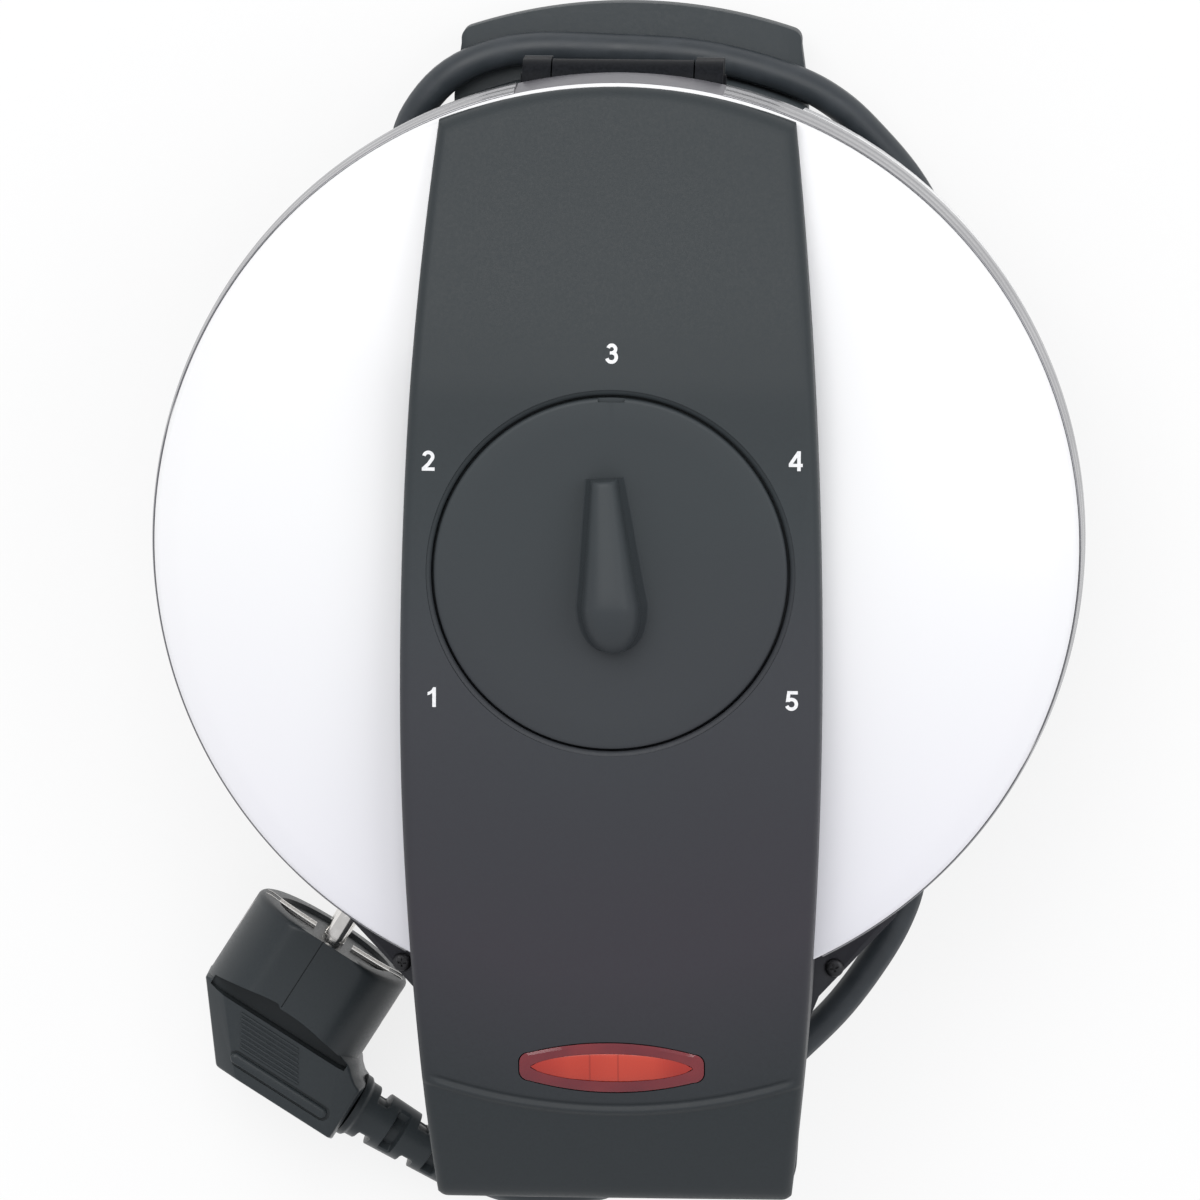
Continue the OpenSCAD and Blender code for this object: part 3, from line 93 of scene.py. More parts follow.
def loft(name, rings, closed=True, capped=True, sharpAngle=40, lay=None):
    # faces between rings with the same number of points
    points = [lay(*p) if lay else p for ring in rings for p in ring]
    count = len(rings[0])
    faces = []
    for i in range(len(rings) - 1):
        for k in range(count if closed else count - 1):
            n = (k + 1) % count
            faces.append((i * count + k, i * count + n, (i + 1) * count + n, (i + 1) * count + k))
    if capped:
        faces.append(tuple(range(count)))
        faces.append(tuple(range((len(rings) - 1) * count, len(rings) * count)))
    return addMesh(name, points, faces, sharpAngle)


def lathe(name, profile, steps=180, centre=(0, 0), start=0, turn=360, sharpAngle=40):
    # a closed outline of (radius, height) turned about an upright axis
    whole = turn >= 360
    count = steps if whole else steps + 1
    rings = []
    for i in range(count):
        a = math.radians(start + turn * i / steps)
        rings.append([(centre[0] + r * math.cos(a), centre[1] + r * math.sin(a), z) for r, z in profile])
    if whole:
        rings.append(rings[0])
    return loft(name, rings, capped=not whole, sharpAngle=sharpAngle)


def boxCutter(low, high):
    x0, y0, z0 = low
    x1, y1, z1 = high
    rings = [[(x0, y0, z), (x1, y0, z), (x1, y1, z), (x0, y1, z)] for z in (z0, z1)]
    return loft("cutter", rings)


def prism(name, outline, z0, z1, lay=None):
    return loft(name, [[(x, y, z0) for x, y in outline], [(x, y, z1) for x, y in outline]], lay=lay)


def joined(name, *pieces):
    # several closed meshes as one object
    together = bmesh.new()
    for piece in pieces:
        together.from_mesh(piece.data)
        bpy.data.objects.remove(piece)
    mesh = bpy.data.meshes.new(name)
    together.to_mesh(mesh)
    together.free()
    obj = bpy.data.objects.new(name, mesh)
    bpy.context.collection.objects.link(obj)
    return obj


def bevelled(obj, width, steps=2, angle=35, sharpAngle=40):
    softening = obj.modifiers.new("softening", "BEVEL")
    softening.width = width / 1000
    softening.segments = steps
    softening.limit_method = "ANGLE"
    softening.angle_limit = math.radians(angle)
    softening.harden_normals = False
    return settled(obj, sharpAngle)


def addNode(tree, kind, settings=None, inputs=None):
    made = tree.nodes.new(kind)
    for key, setting in (settings or {}).items():
        setattr(made, key, setting)
    for key, value in (inputs or {}).items():
        if isinstance(value, bpy.types.NodeSocket):
            tree.links.new(value, made.inputs[key])
        else:
            made.inputs[key].default_value = value
    return made


def newTree(name, sizes):
    # a geometry tree with a named input for each size
    tree = bpy.data.node_groups.new(name, "GeometryNodeTree")
    tree.interface.new_socket("Geometry", in_out="INPUT", socket_type="NodeSocketGeometry")
    tree.interface.new_socket("Geometry", in_out="OUTPUT", socket_type="NodeSocketGeometry")
    for key, kind in sizes.items():
        tree.interface.new_socket(key, in_out="INPUT", socket_type=kind)
    return tree, tree.nodes.new("NodeGroupInput"), tree.nodes.new("NodeGroupOutput")


def grown(name, tree, values, points=()):
    # the tree's result as a plain mesh
    mesh = bpy.data.meshes.new(name)
    mesh.from_pydata(list(points), [], [])
    obj = bpy.data.objects.new(name, mesh)
    bpy.context.collection.objects.link(obj)
    modifier = obj.modifiers.new(name, "NODES")
    modifier.node_group = tree
    for item in tree.interface.items_tree:
        if item.in_out == "INPUT" and item.name in values:
            modifier[item.identifier] = values[item.name]
    return settled(obj)


def arcPoints(cx, cy, r, a0, a1, steps):
    return [
        (cx + r * math.cos(math.radians(a0 + (a1 - a0) * i / steps)),
         cy + r * math.sin(math.radians(a0 + (a1 - a0) * i / steps)))
        for i in range(steps + 1)
    ]


def smoothLine(points, steps):
    # smooth curve through the points, with that many steps between each pair
    line = []
    last = len(points) - 1
    for i in range(last):
        a, b = points[max(i - 1, 0)], points[i]
        c, d = points[i + 1], points[min(i + 2, last)]
        for k in range(steps):
            t = k / steps
            line.append(tuple(
                0.5 * (2 * q + (r - p) * t + (2 * p - 5 * q + 4 * r - s) * t * t + (3 * q - p - 3 * r + s) * t ** 3)
                for p, q, r, s in zip(a, b, c, d)
            ))
    line.append(tuple(points[-1]))
    return line


# Camera at the photograph's angle: high above, a little to the hinge's side
view = {"target": (-4.262, -14.348, 50), "sideTilt": 2.898, "backTilt": 7.636, "distance": 3000, "roll": 0.297,
        "focalPixels": 14080.5, "imagePixels": 1200}


def makeCamera():
    cameraData = bpy.data.cameras.new("camera")
    camera = bpy.data.objects.new("camera", cameraData)
    bpy.context.collection.objects.link(camera)
    back = Vector((math.tan(math.radians(view["sideTilt"])), math.tan(math.radians(view["backTilt"])), 1)).normalized()
    up = Vector((0, 1, 0))
    up = (up - up.dot(back) * back).normalized()
    right = up.cross(back)
    roll = math.radians(view["roll"])
    turnedRight = right * math.cos(roll) + up * math.sin(roll)
    turnedUp = up * math.cos(roll) - right * math.sin(roll)
    turn = Matrix((turnedRight, turnedUp, back)).transposed()
    camera.matrix_world = Matrix.Translation(place(*view["target"]) + back * view["distance"] / 1000) @ turn.to_4x4()
    cameraData.sensor_width = 36
    cameraData.lens = view["focalPixels"] / view["imagePixels"] * cameraData.sensor_width
    cameraData.clip_start = 0.1
    cameraData.clip_end = 20
    bpy.context.scene.camera = camera


makeCamera()
print("krumkake iron: camera at the photograph's angle")

# Lead: out of its gland on the neck's right side, round the foot one and a half times, into the plug
lead = {"diameter": 6.8, "length": 761, "low": 3.6, "overFoot": 16.8}
lead["route"] = [
    (76, -8, 12), (76, -16, 11.7), (75, -28, 9), (70, -42, 5.5), (60, -56, 4), (44, -69, lead["low"]),
    (23, -78, lead["low"]), (0, -81, lead["low"]), (-24, -78, lead["low"]), (-46, -67, lead["low"]),
    (-63, -51, lead["low"]), (-75, -30, lead["low"]), (-80, -6, lead["low"]), (-79, 18, lead["low"]),
    (-71.5, 40, lead["low"]), (-58.5, 58, 4.8), (-50, 72, 9.6), (-46.9, 84.4, 15), (-38.1, 94.9, lead["overFoot"] + 0.2),
    (-24, 100.1, lead["overFoot"]), (-4, 100.3, lead["overFoot"]), (16, 99, lead["overFoot"]),
    (34, 94.4, lead["overFoot"]), (44.6, 88.8, 16), (53, 80.5, 12.9), (59.7, 72, 9.6), (65.5, 61.8, 6.8),
    (72.2, 50, 4.8), (80, 38, lead["low"]), (87, 25, lead["low"]), (90.2, 11, lead["low"]), (90.8, -4, lead["low"]),
    (88.8, -20, lead["low"]), (84, -36, lead["low"]), (76.4, -49.5, lead["low"]), (69, -60.5, lead["low"]),
    (64.2, -70, lead["low"]), (61.7, -78.5, lead["low"]), (59.6, -86.5, lead["low"]), (55, -95.8, lead["low"]),
    (46.4, -108, lead["low"]), (36.3, -118.4, lead["low"]), (26, -128, lead["low"]), (13.5, -137.8, 4.0),
    (-3, -147.5, 6), (-20, -149.65, 10), (-33.4, -145.1, 14.4),
]


def makeLead():
    line = smoothLine(lead["route"], 6)
    curve = bpy.data.curves.new("lead", "CURVE")
    curve.dimensions = "3D"
    spline = curve.splines.new("POLY")
    spline.points.add(len(line) - 1)
    for point, p in zip(spline.points, line):
        point.co = (*place(*p), 1)
    spline.use_smooth = True
    curve.bevel_depth = lead["diameter"] / 2000
    curve.bevel_resolution = 4
    curve.use_fill_caps = True
    obj = bpy.data.objects.new("lead", curve)
    bpy.context.collection.objects.link(obj)
    return obj


leadPiece = makeLead()


# Shader maths: a socket that can be added, multiplied and so on
class Value:
    def __init__(self, finish, socket):
        self.finish = finish
        self.socket = socket

    def sum(self, operation, first, second):
        return self.finish.node("ShaderNodeMath", {"operation": operation}, {0: first, 1: second})

    def __add__(self, other):
        return self.sum("ADD", self, other)

    def __radd__(self, other):
        return self.sum("ADD", other, self)

    def __sub__(self, other):
        return self.sum("SUBTRACT", self, other)

    def __rsub__(self, other):
        return self.sum("SUBTRACT", other, self)

    def __mul__(self, other):
        return self.sum("MULTIPLY", self, other)

    def __rmul__(self, other):
        return self.sum("MULTIPLY", other, self)

    def __pow__(self, other):
        return self.sum("POWER", self, other)


class Finish:
    def __init__(self, name, colour, **constants):
        self.material = bpy.data.materials.new(name)
        self.material.use_nodes = True
        self.tree = self.material.node_tree
        self.shader = self.tree.nodes["Principled BSDF"]
        self.shader.inputs["Base Color"].default_value = (*colour, 1)
        for key, number in constants.items():
            self.shader.inputs[key.replace("_", " ")].default_value = number
        self.material.diffuse_color = (*colour, 1)
        self.colour = colour
        self.objectSpace = self.node("ShaderNodeTexCoord", output="Object")

    def node(self, kind, settings=None, inputs=None, output=0):
        made = self.tree.nodes.new(kind)
        for key, setting in (settings or {}).items():
            setattr(made, key, setting)
        for key, value in (inputs or {}).items():
            self.feed(made.inputs[key], value)
        return Value(self, made.outputs[output])

    def feed(self, socket, value):
        if isinstance(value, Value):
            self.tree.links.new(value.socket, socket)
        else:
            socket.default_value = value

    def set(self, name, value):
        self.feed(self.shader.inputs[name], value)

    def noise(self, scale, detail=2, roughness=0.5, at=None):
        return self.node("ShaderNodeTexNoise", None,
                         {"Vector": at or self.objectSpace, "Scale": scale, "Detail": detail, "Roughness": roughness})

    def stretched(self, x, y, z, turn=0):
        return self.node("ShaderNodeMapping", None,
                         {"Vector": self.objectSpace, "Scale": (x, y, z), "Rotation": (0, 0, math.radians(turn))})

    def limited(self, value, low, high, newLow, newHigh):
        return self.node("ShaderNodeMapRange", {"clamp": True},
                         {"Value": value, "From Min": low, "From Max": high, "To Min": newLow, "To Max": newHigh})

    def blended(self, mask, first, second):
        return self.node("ShaderNodeMix", {"data_type": "RGBA"}, {0: mask, 6: (*first, 1), 7: (*second, 1)}, 2)

    def mixed(self, mask, first, second):
        return self.node("ShaderNodeMix", {"data_type": "RGBA"}, {0: mask, 6: first, 7: second}, 2)

    def bump(self, height, depth, strength=1.0):
        # depth is the real height of the relief in metres
        bumped = self.node("ShaderNodeBump", None, {"Height": height, "Distance": depth, "Strength": strength})
        self.set("Normal", bumped)
        return bumped


def shade(colour, factor):
    return tuple(min(1.0, c * factor) for c in colour)


finishes = {}

# painted shade: each look's second colour is a darker, more purple colour painted towards the front
darkPlastic = {"colour": (0.039, 0.047, 0.052), "paintedShadeColour": (0.043, 0.0395, 0.049), "roughness": 0.5,
               "paintedEndShadeColour": (0.026, 0.031, 0.0345), "paintedRearShadeColour": (0.030, 0.0365, 0.040),
               "grain": 1500, "grainDepth": 0.00002}


def makeDarkPlastic(name, look):
    # moulded plastic with a fine spark-eroded grain, and painted shade: darker and more purple towards the front, and,
    # where the look gives them, darker on the handle's end and on the band's rear slope
    finish = Finish(name, look["colour"], IOR=1.45, Specular_IOR_Level=0.36)
    grain = finish.noise(look["grain"], 2)
    along = finish.node("ShaderNodeSeparateXYZ", None, {"Vector": finish.objectSpace}, 1)
    cloud = finish.noise(14, 2)
    # painted shade: this mask turns the colour darker and more purple towards the front, which faces away from the key
    # light
    mask = finish.limited((0.03 - along) * 11 + (cloud - 0.5) * 0.8, 0, 1, 0, 1)
    body = finish.blended(mask, look["colour"], look["paintedShadeColour"])
    if "paintedEndShadeColour" in look:
        # painted shade: the handle beyond the dome's rim is coloured darker, as it slopes away from the light
        reach = finish.node("ShaderNodeVectorMath", {"operation": "DISTANCE"},
                            {0: finish.node("ShaderNodeVectorMath", {"operation": "MULTIPLY"}, {0: finish.objectSpace, 1: (1, 1, 0)}),
                             1: (0, bakingAxisY / 1000, 0)}, "Value")
        paintedEndShade = finish.limited(reach, 0.090, 0.1225, 0, 1) * finish.limited(along, -0.06, -0.05, 1, 0)
        body = finish.mixed(paintedEndShade, body, (*look["paintedEndShadeColour"], 1))
        # painted shade: high up on the band's rear half the colour is darker, to hold back the key light's sheen there
        height = finish.node("ShaderNodeSeparateXYZ", None, {"Vector": finish.objectSpace}, 2)
        rear = finish.limited(along, 0.0, 0.06, 0, 1) * finish.limited(height, 0.062, 0.066, 0, 1)
        body = finish.mixed(rear, body, (*look["paintedRearShadeColour"], 1))
    finish.set("Base Color", finish.mixed(finish.limited(grain, 0.3, 0.7, 0.0, 0.12), body, (*shade(look["colour"], 1.5), 1)))
    finish.set("Roughness", finish.limited(grain, 0.3, 0.7, look["roughness"] - 0.05, look["roughness"] + 0.07))
    finish.bump(grain, look["grainDepth"], 0.6)
    return finish.material


dialPlastic = {"colour": (0.039, 0.0465, 0.051), "paintedShadeColour": (0.037, 0.036, 0.0435), "roughness": 0.46,
               "grain": 2600, "grainDepth": 0.00001}
plugPlastic = {"colour": (0.036, 0.044, 0.047), "paintedShadeColour": (0.030, 0.036, 0.040), "roughness": 0.36,
               "grain": 2200, "grainDepth": 0.000012}
ivoryPlastic = {"colour": (0.78, 0.74, 0.64), "paintedShadeColour": (0.72, 0.67, 0.56), "roughness": 0.5,
                "grain": 1800, "grainDepth": 0.00001}
wireSleeve = {"colour": (0.5, 0.06, 0.05), "paintedShadeColour": (0.42, 0.05, 0.04), "roughness": 0.4,
              "grain": 2500, "grainDepth": 0.00001}
finishes["dark_plastic"] = makeDarkPlastic("dark plastic", darkPlastic)
finishes["dial_plastic"] = makeDarkPlastic("dial plastic", dialPlastic)
finishes["plug_plastic"] = makeDarkPlastic("plug plastic", plugPlastic)
finishes["ivory_plastic"] = makeDarkPlastic("ivory plastic", ivoryPlastic)
finishes["wire_red"] = makeDarkPlastic("wire sleeve", wireSleeve)

# painted shade: lower is the darker, bluer colour painted on the front of the dome
whiteEnamel = {"colour": (0.93, 0.93, 0.935), "shadow": (0.915, 0.918, 0.93), "lower": (0.86, 0.855, 0.915),
               "roughness": 0.3}


def makeWhiteEnamel():
    # stoved white lacquer, with a faint orange peel, and painted shade: darker and bluer towards the front
    finish = Finish("white enamel", whiteEnamel["colour"], Coat_Weight=0.35, Coat_Roughness=0.12)
    peel = finish.noise(420, 1)
    cloud = finish.noise(14, 3)
    along = finish.node("ShaderNodeSeparateXYZ", None, {"Vector": finish.objectSpace}, 1)
    body = finish.blended(finish.limited(cloud, 0.2, 0.8, 0, 1), whiteEnamel["colour"], whiteEnamel["shadow"])
    # painted shade: the front of the dome, which faces away from the key light, is coloured darker and bluer
    low = finish.limited(along + cloud * 0.02, -0.075, 0.03, 1, 0)
    finish.set("Base Color", finish.mixed(low, body, (*whiteEnamel["lower"], 1)))
    finish.set("Roughness", finish.limited(cloud, 0.2, 0.8, whiteEnamel["roughness"] - 0.02, whiteEnamel["roughness"] + 0.04))
    finish.bump(peel, 0.000006, 0.25)
    return finish.material


finishes["white_enamel"] = makeWhiteEnamel()

polishedSteel = {"colour": (0.30, 0.30, 0.315), "roughness": 0.18}


def makeBrightMetal(name, colour, roughness, streaks, coarse=False):
    # metal drawn along its length: fine upright bands that vary its gloss
    finish = Finish(name, colour, Metallic=1.0)
    bands = finish.noise(1, 3, 0.6, at=finish.stretched(*streaks))
    smudge = finish.noise(60, 3)
    finish.set("Base Color", finish.blended(finish.limited(bands, 0.3, 0.7, 0, 1), shade(colour, 0.93), shade(colour, 1.05)))
    finish.set("Roughness", finish.limited(bands * 0.6 + smudge * 0.4, 0.35, 0.65, roughness - 0.05, roughness + 0.1))
    finish.bump(bands, 0.00002 if coarse else 0.000006, 0.5)
    return finish.material


finishes["polished_steel"] = makeBrightMetal("polished steel", polishedSteel["colour"], polishedSteel["roughness"], (30, 30, 1400))
finishes["screw_steel"] = makeBrightMetal("zinc plated steel", (0.62, 0.62, 0.63), 0.3, (900, 900, 900))
finishes["dark_screw"] = makeBrightMetal("dark screw steel", (0.06, 0.06, 0.063), 0.4, (900, 900, 900))
finishes["bare_aluminium"] = makeBrightMetal("mill aluminium", (0.8, 0.8, 0.81), 0.34, (40, 900, 400), True)
finishes["heater_sheath"] = makeBrightMetal("heat tinted sheath", (0.33, 0.29, 0.26), 0.42, (300, 300, 300), True)
finishes["plug_nickel"] = makeBrightMetal("nickel plate", (0.82, 0.8, 0.77), 0.15, (200, 200, 900))
finishes["brass"] = makeBrightMetal("turned brass", (0.75, 0.6, 0.3), 0.25, (60, 60, 2500))


def makeGreyMetal():
    # satin lacquer on the cover over the hinge
    finish = Finish("grey lacquer", (0.18, 0.176, 0.195), Metallic=0.5)
    fleck = finish.noise(1800, 2)
    finish.set("Base Color", finish.blended(finish.limited(fleck, 0.35, 0.65, 0, 1), (0.17, 0.166, 0.185), (0.205, 0.20, 0.22)))
    finish.set("Roughness", finish.limited(fleck, 0.3, 0.7, 0.32, 0.42))
    finish.bump(fleck, 0.000008, 0.5)
    return finish.material


finishes["grey_metal"] = makeGreyMetal()


def makeHingeShadeBlack():
    # painted shade: a near-black finish on the hinge parts stands in for the shade in the gap under the lid's rim
    finish = Finish("hinge shade black", (0.012, 0.013, 0.016), IOR=1.45, Specular_IOR_Level=0.1)
    fleck = finish.noise(1500, 2)
    finish.set("Base Color", finish.blended(finish.limited(fleck, 0.35, 0.65, 0, 1), (0.007, 0.008, 0.010), (0.012, 0.013, 0.016)))
    finish.set("Roughness", finish.limited(fleck, 0.3, 0.7, 0.45, 0.55))
    finish.bump(fleck, 0.000008, 0.5)
    return finish.material


finishes["black_lacquer"] = makeHingeShadeBlack()

plateCoating = {"colour": (0.085, 0.085, 0.09), "fleck": (0.30, 0.30, 0.31), "roughness": 0.4}


def makePlateCoating():
    # non-stick coating with pale flecks over the casting's slight waviness
    finish = Finish("plate coating", plateCoating["colour"], IOR=1.5)
    fleck = finish.noise(2400, 1)
    wave = finish.noise(130, 3)
    mask = finish.limited(fleck, 0.68, 0.74, 0, 1)
    finish.set("Base Color", finish.blended(mask, plateCoating["colour"], plateCoating["fleck"]))
    finish.set("Roughness", finish.limited(wave, 0.3, 0.7, plateCoating["roughness"] - 0.06, plateCoating["roughness"] + 0.08))
    finish.bump(wave * 0.7 + fleck * 0.3, 0.00003, 0.6)
    return finish.material


finishes["cast_plate"] = makePlateCoating()

leadSheath = {"colour": (0.035, 0.042, 0.049), "sheen": (0.047, 0.055, 0.064), "roughness": 0.42}


def makeSheath(name, colour, second, roughness, scale):
    # soft sheath with faint handling marks
    finish = Finish(name, colour, IOR=1.48)
    mark = finish.noise(scale, 4, 0.6)
    grain = finish.noise(3000, 1)
    finish.set("Base Color", finish.blended(finish.limited(mark, 0.45, 0.75, 0, 1), colour, second))
    finish.set("Roughness", finish.limited(mark, 0.3, 0.7, roughness - 0.05, roughness + 0.12))
    finish.bump(grain * 0.5 + mark * 0.5, 0.00002, 0.5)
    return finish.material


finishes["cord_sheath"] = makeSheath("lead sheath", leadSheath["colour"], leadSheath["sheen"], leadSheath["roughness"], 160)
finishes["black_rubber"] = makeSheath("foot rubber", (0.03, 0.03, 0.032), (0.05, 0.05, 0.052), 0.7, 300)


def makeLampRed():
    # clear red moulding of the lamp window's border
    finish = Finish("lamp red", (0.42, 0.05, 0.06), Roughness=0.16, IOR=1.49, Transmission_Weight=0.35)
    cloud = finish.noise(90, 2)
    finish.set("Base Color", finish.blended(finish.limited(cloud, 0.35, 0.65, 0, 1), (0.30, 0.045, 0.055), (0.22, 0.035, 0.05)))
    finish.set("Roughness", finish.limited(cloud, 0.3, 0.7, 0.14, 0.22))
    return finish.material


finishes["lamp_red"] = makeLampRed()


lampCentre = {"colour": (0.44, 0.036, 0.022), "lit": (0.54, 0.058, 0.034), "joint": (0.20, 0.015, 0.012),
              "ends": (0.34, 0.022, 0.018), "joints": (-4.6, 1.4)}


def makeLampCentre():
    # the brighter lens over the lamp, finely ribbed across
    finish = Finish("lamp lens red", (0.62, 0.07, 0.045), IOR=1.49)
    ribs = finish.node("ShaderNodeTexWave", {"wave_type": "BANDS", "bands_direction": "X"}, {"Vector": finish.objectSpace, "Scale": 420}, 1)
    cloud = finish.noise(60, 2, at=finish.stretched(1, 0.3, 0.3))
    mask = finish.limited(cloud, 0.35, 0.65, 0, 1)
    body = finish.blended(mask, lampCentre["colour"], lampCentre["lit"])
    across = finish.node("ShaderNodeSeparateXYZ", None, {"Vector": finish.objectSpace}, 0)
    for at in lampCentre["joints"]:
        away = finish.node("ShaderNodeMath", {"operation": "ABSOLUTE"}, {0: across - at / 1000})
        body = finish.mixed(finish.limited(away, 0.00010, 0.00026, 0.4, 0), body, (*lampCentre["joint"], 1))
    ends = finish.limited(finish.node("ShaderNodeMath", {"operation": "ABSOLUTE"}, {0: across}), 0.009, 0.0172, 0, 0.8)
    finish.set("Base Color", finish.mixed(ends, body, (*lampCentre["ends"], 1)))
    finish.set("Roughness", finish.limited(cloud, 0.3, 0.7, 0.22, 0.32))
    finish.bump(ribs, 0.00003, 0.35)
    return finish.material


finishes["lamp_centre"] = makeLampCentre()


def makeLampGlass():
    finish = Finish("lamp glass", (0.9, 0.5, 0.25), Roughness=0.08, IOR=1.45)
    cloud = finish.noise(400, 2)
    finish.set("Base Color", finish.blended(finish.limited(cloud, 0.4, 0.6, 0, 1), (0.92, 0.52, 0.27), (0.8, 0.4, 0.2)))
    return finish.material


finishes["lamp_glass"] = makeLampGlass()


def makeNumberPaint():
    finish = Finish("number paint", (0.86, 0.87, 0.88))
    wear = finish.noise(1500, 3)
    finish.set("Base Color", finish.blended(finish.limited(wear, 0.35, 0.6, 0, 1), (0.80, 0.81, 0.83), (0.90, 0.90, 0.91)))
    finish.set("Roughness", finish.limited(wear, 0.3, 0.7, 0.45, 0.6))
    return finish.material


numberPaint = makeNumberPaint()

for part in frame["record"]["subparts"]:
    node = frame["nodes"][part["node"]]
    node.data.materials.clear()
    node.data.materials.append(finishes[part["material_slot"]])
print("krumkake iron: finishes made")


def dress(obj, slotName, body, *nodes, material=None):
    obj.data.materials.clear()
    obj.data.materials.append(material or finishes[slotName])
    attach(obj, body)
    if nodes:
        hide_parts(*nodes)
    return obj


dress(leadPiece, "cord_sheath", "base", "power_cord")

# White dome of the lid, with a rolled edge and a wall that widens downwards
dome = {"radius": 98, "rimHeight": 70, "rise": 15, "sheet": 1.2, "edgeRadius": 1.8, "footRadius": 98.8,
        "footHeight": 52.6, "flangeRadius": 84.4}
domeSphere = (dome["radius"] ** 2 + dome["rise"] ** 2) / (2 * dome["rise"])
domeTop = dome["rimHeight"] + dome["rise"]
hingeGap = {"halfWidth": 22.3, "front": 88, "top": 67.8}


def domeHeight(r, out=0):
    return domeTop - domeSphere + math.sqrt(max((domeSphere + out) ** 2 - r * r, 0))


def makeDome():
    t, e = dome["sheet"], dome["edgeRadius"]
    outer = [(dome["radius"] * k / 48, domeHeight(dome["radius"] * k / 48)) for k in range(48)]
    outer = [(r, z) for r, z in outer if r < dome["radius"] - e * 1.15]
    slope = math.degrees(math.asin(dome["radius"] / domeSphere))
    outer += [(r, z - 0.45) for r, z in arcPoints(dome["radius"] - e, dome["rimHeight"] - e + 0.42, e, 90 - slope, 0, 8)]
    outer += [(dome["radius"] + 0.05, dome["rimHeight"] - 3), (dome["footRadius"] - 0.05, dome["footHeight"] + 0.3)]
    outer += [(dome["footRadius"] - 0.3, dome["footHeight"]), (dome["flangeRadius"], dome["footHeight"])]
    inner = [(dome["flangeRadius"], dome["footHeight"] + t), (dome["footRadius"] - t, dome["footHeight"] + t),
             (dome["radius"] - t, dome["rimHeight"] - 3)]
    inner += [(dome["radius"] * k / 24 - t * k / 24, domeHeight(dome["radius"] * k / 24) - t - 0.02) for k in range(23, -1, -1)]
    shell = lathe("dome", outer + inner, 288)
    gap = boxCutter((-hingeGap["halfWidth"], hingeGap["front"], 40), (hingeGap["halfWidth"], 110, hingeGap["top"]))
    hole = lathe("cutter", [(0, 60), (6, 60), (6, 100), (0, 100)], 48, (0, -3.2))
    return cutAway(shell, gap, hole)


dress(makeDome(), "white_enamel", "lid", "upper_shell")

# Polished trim round the lid's wall, with two rolled beads
trim = {"foot": 53.2, "top": 67.8, "thickness": 0.5, "beads": (57.6, 63.4), "beadHeight": 0.22, "beadWidth": 2.4}


def makeTrim():
    def wallRadius(z):
        share = (z - dome["footHeight"]) / (dome["rimHeight"] - dome["footHeight"])
        return dome["footRadius"] + (dome["radius"] - dome["footRadius"]) * share + 0.03

    def proud(z):
        return trim["beadHeight"] * sum(math.exp(-((z - b) / trim["beadWidth"] * 2) ** 2) for b in trim["beads"])

    heights = [trim["foot"] + 0.25 + (trim["top"] - trim["foot"] - 0.5) * k / 40 for k in range(41)]
    t = trim["thickness"] - trim["beadHeight"]
    outline = [(wallRadius(trim["foot"]), trim["foot"]), (wallRadius(trim["foot"]) + t * 0.6, trim["foot"] + 0.02)]
    outline += [(wallRadius(z) + t + proud(z), z) for z in heights]
    outline += [(wallRadius(trim["top"]) + t * 0.6, trim["top"] - 0.02), (wallRadius(trim["top"]), trim["top"])]
    sides = []
    for start, turn in ((-63.2, 140.2), (103.0, 140.2)):
        sides.append(lathe("trim", outline, 140, start=start, turn=turn, sharpAngle=60))
    return joined("rimTrim", *sides)


dress(makeTrim(), "polished_steel", "lid", "rim_trim")
print("krumkake iron: lid made")

# Saddle and handle over the lid
saddle = {
    "width": 88.8, "sideArc": 1000, "widestAt": -26, "rearRadius": 97.5, "frontEnd": -142, "cornerRadius": 2.4,
    "edgeRadius": 2.4, "crown": 0.5, "underHandle": 57, "ridgeRadius": 120.5,
    "topLine": [(102, 72.2), (92, 74.6), (72, 82.2), (55, 87.6), (40.8, 90.8), (29.8, 91.95), (0, 92), (-29.8, 91.95),
                (-44.8, 91.1), (-60, 88.8), (-80, 84.3), (-100, 78.8), (-120, 72.9), (-130, 68.2), (-138, 63.9),
                (-142, 61.4), (-146, 59)],
}
topCurve = smoothLine(sorted(saddle["topLine"]), 12)


def topHeight(y):
    for (y0, z0), (y1, z1) in zip(topCurve, topCurve[1:]):
        if y0 <= y <= y1:
            return z0 + (z1 - z0) * (y - y0) / (y1 - y0)
    return topCurve[0][1] if y < topCurve[0][0] else topCurve[-1][1]


def halfWidth(y):
    arc = saddle["sideArc"]
    return math.sqrt(arc ** 2 - (y - saddle["widestAt"]) ** 2) - arc + saddle["width"] / 2


def smoothStep(x):
    x = min(1, max(0, x))
    return x * x * (3 - 2 * x)


def saddleSurface(x, y):
    # height of the saddle's top without its rounded edge
    w = halfWidth(y)
    z = topHeight(y) - saddle["crown"] * (x / w) ** 2
    r = math.hypot(x, y)
    if y < 0:
        # a groove and a bead, then a slightly lower surface
        out = r - saddle["ridgeRadius"]
        inward = smoothStep((w - abs(x) - 1.2) / 2.5)
        z -= 0.42 * smoothStep((out - 0.8) / 0.9)
        z -= 0.5 * inward * math.exp(-((out + 0.8) / 0.55) ** 2)
        z += 0.28 * inward * math.exp(-((out - 0.55) / 0.5) ** 2)
    return z


def saddleUnder(x, y):
    r = math.hypot(x, y)
    if y < 0 and r > 98.9:
        return saddle["underHandle"]
    return domeHeight(min(r, 98)) + 0.25


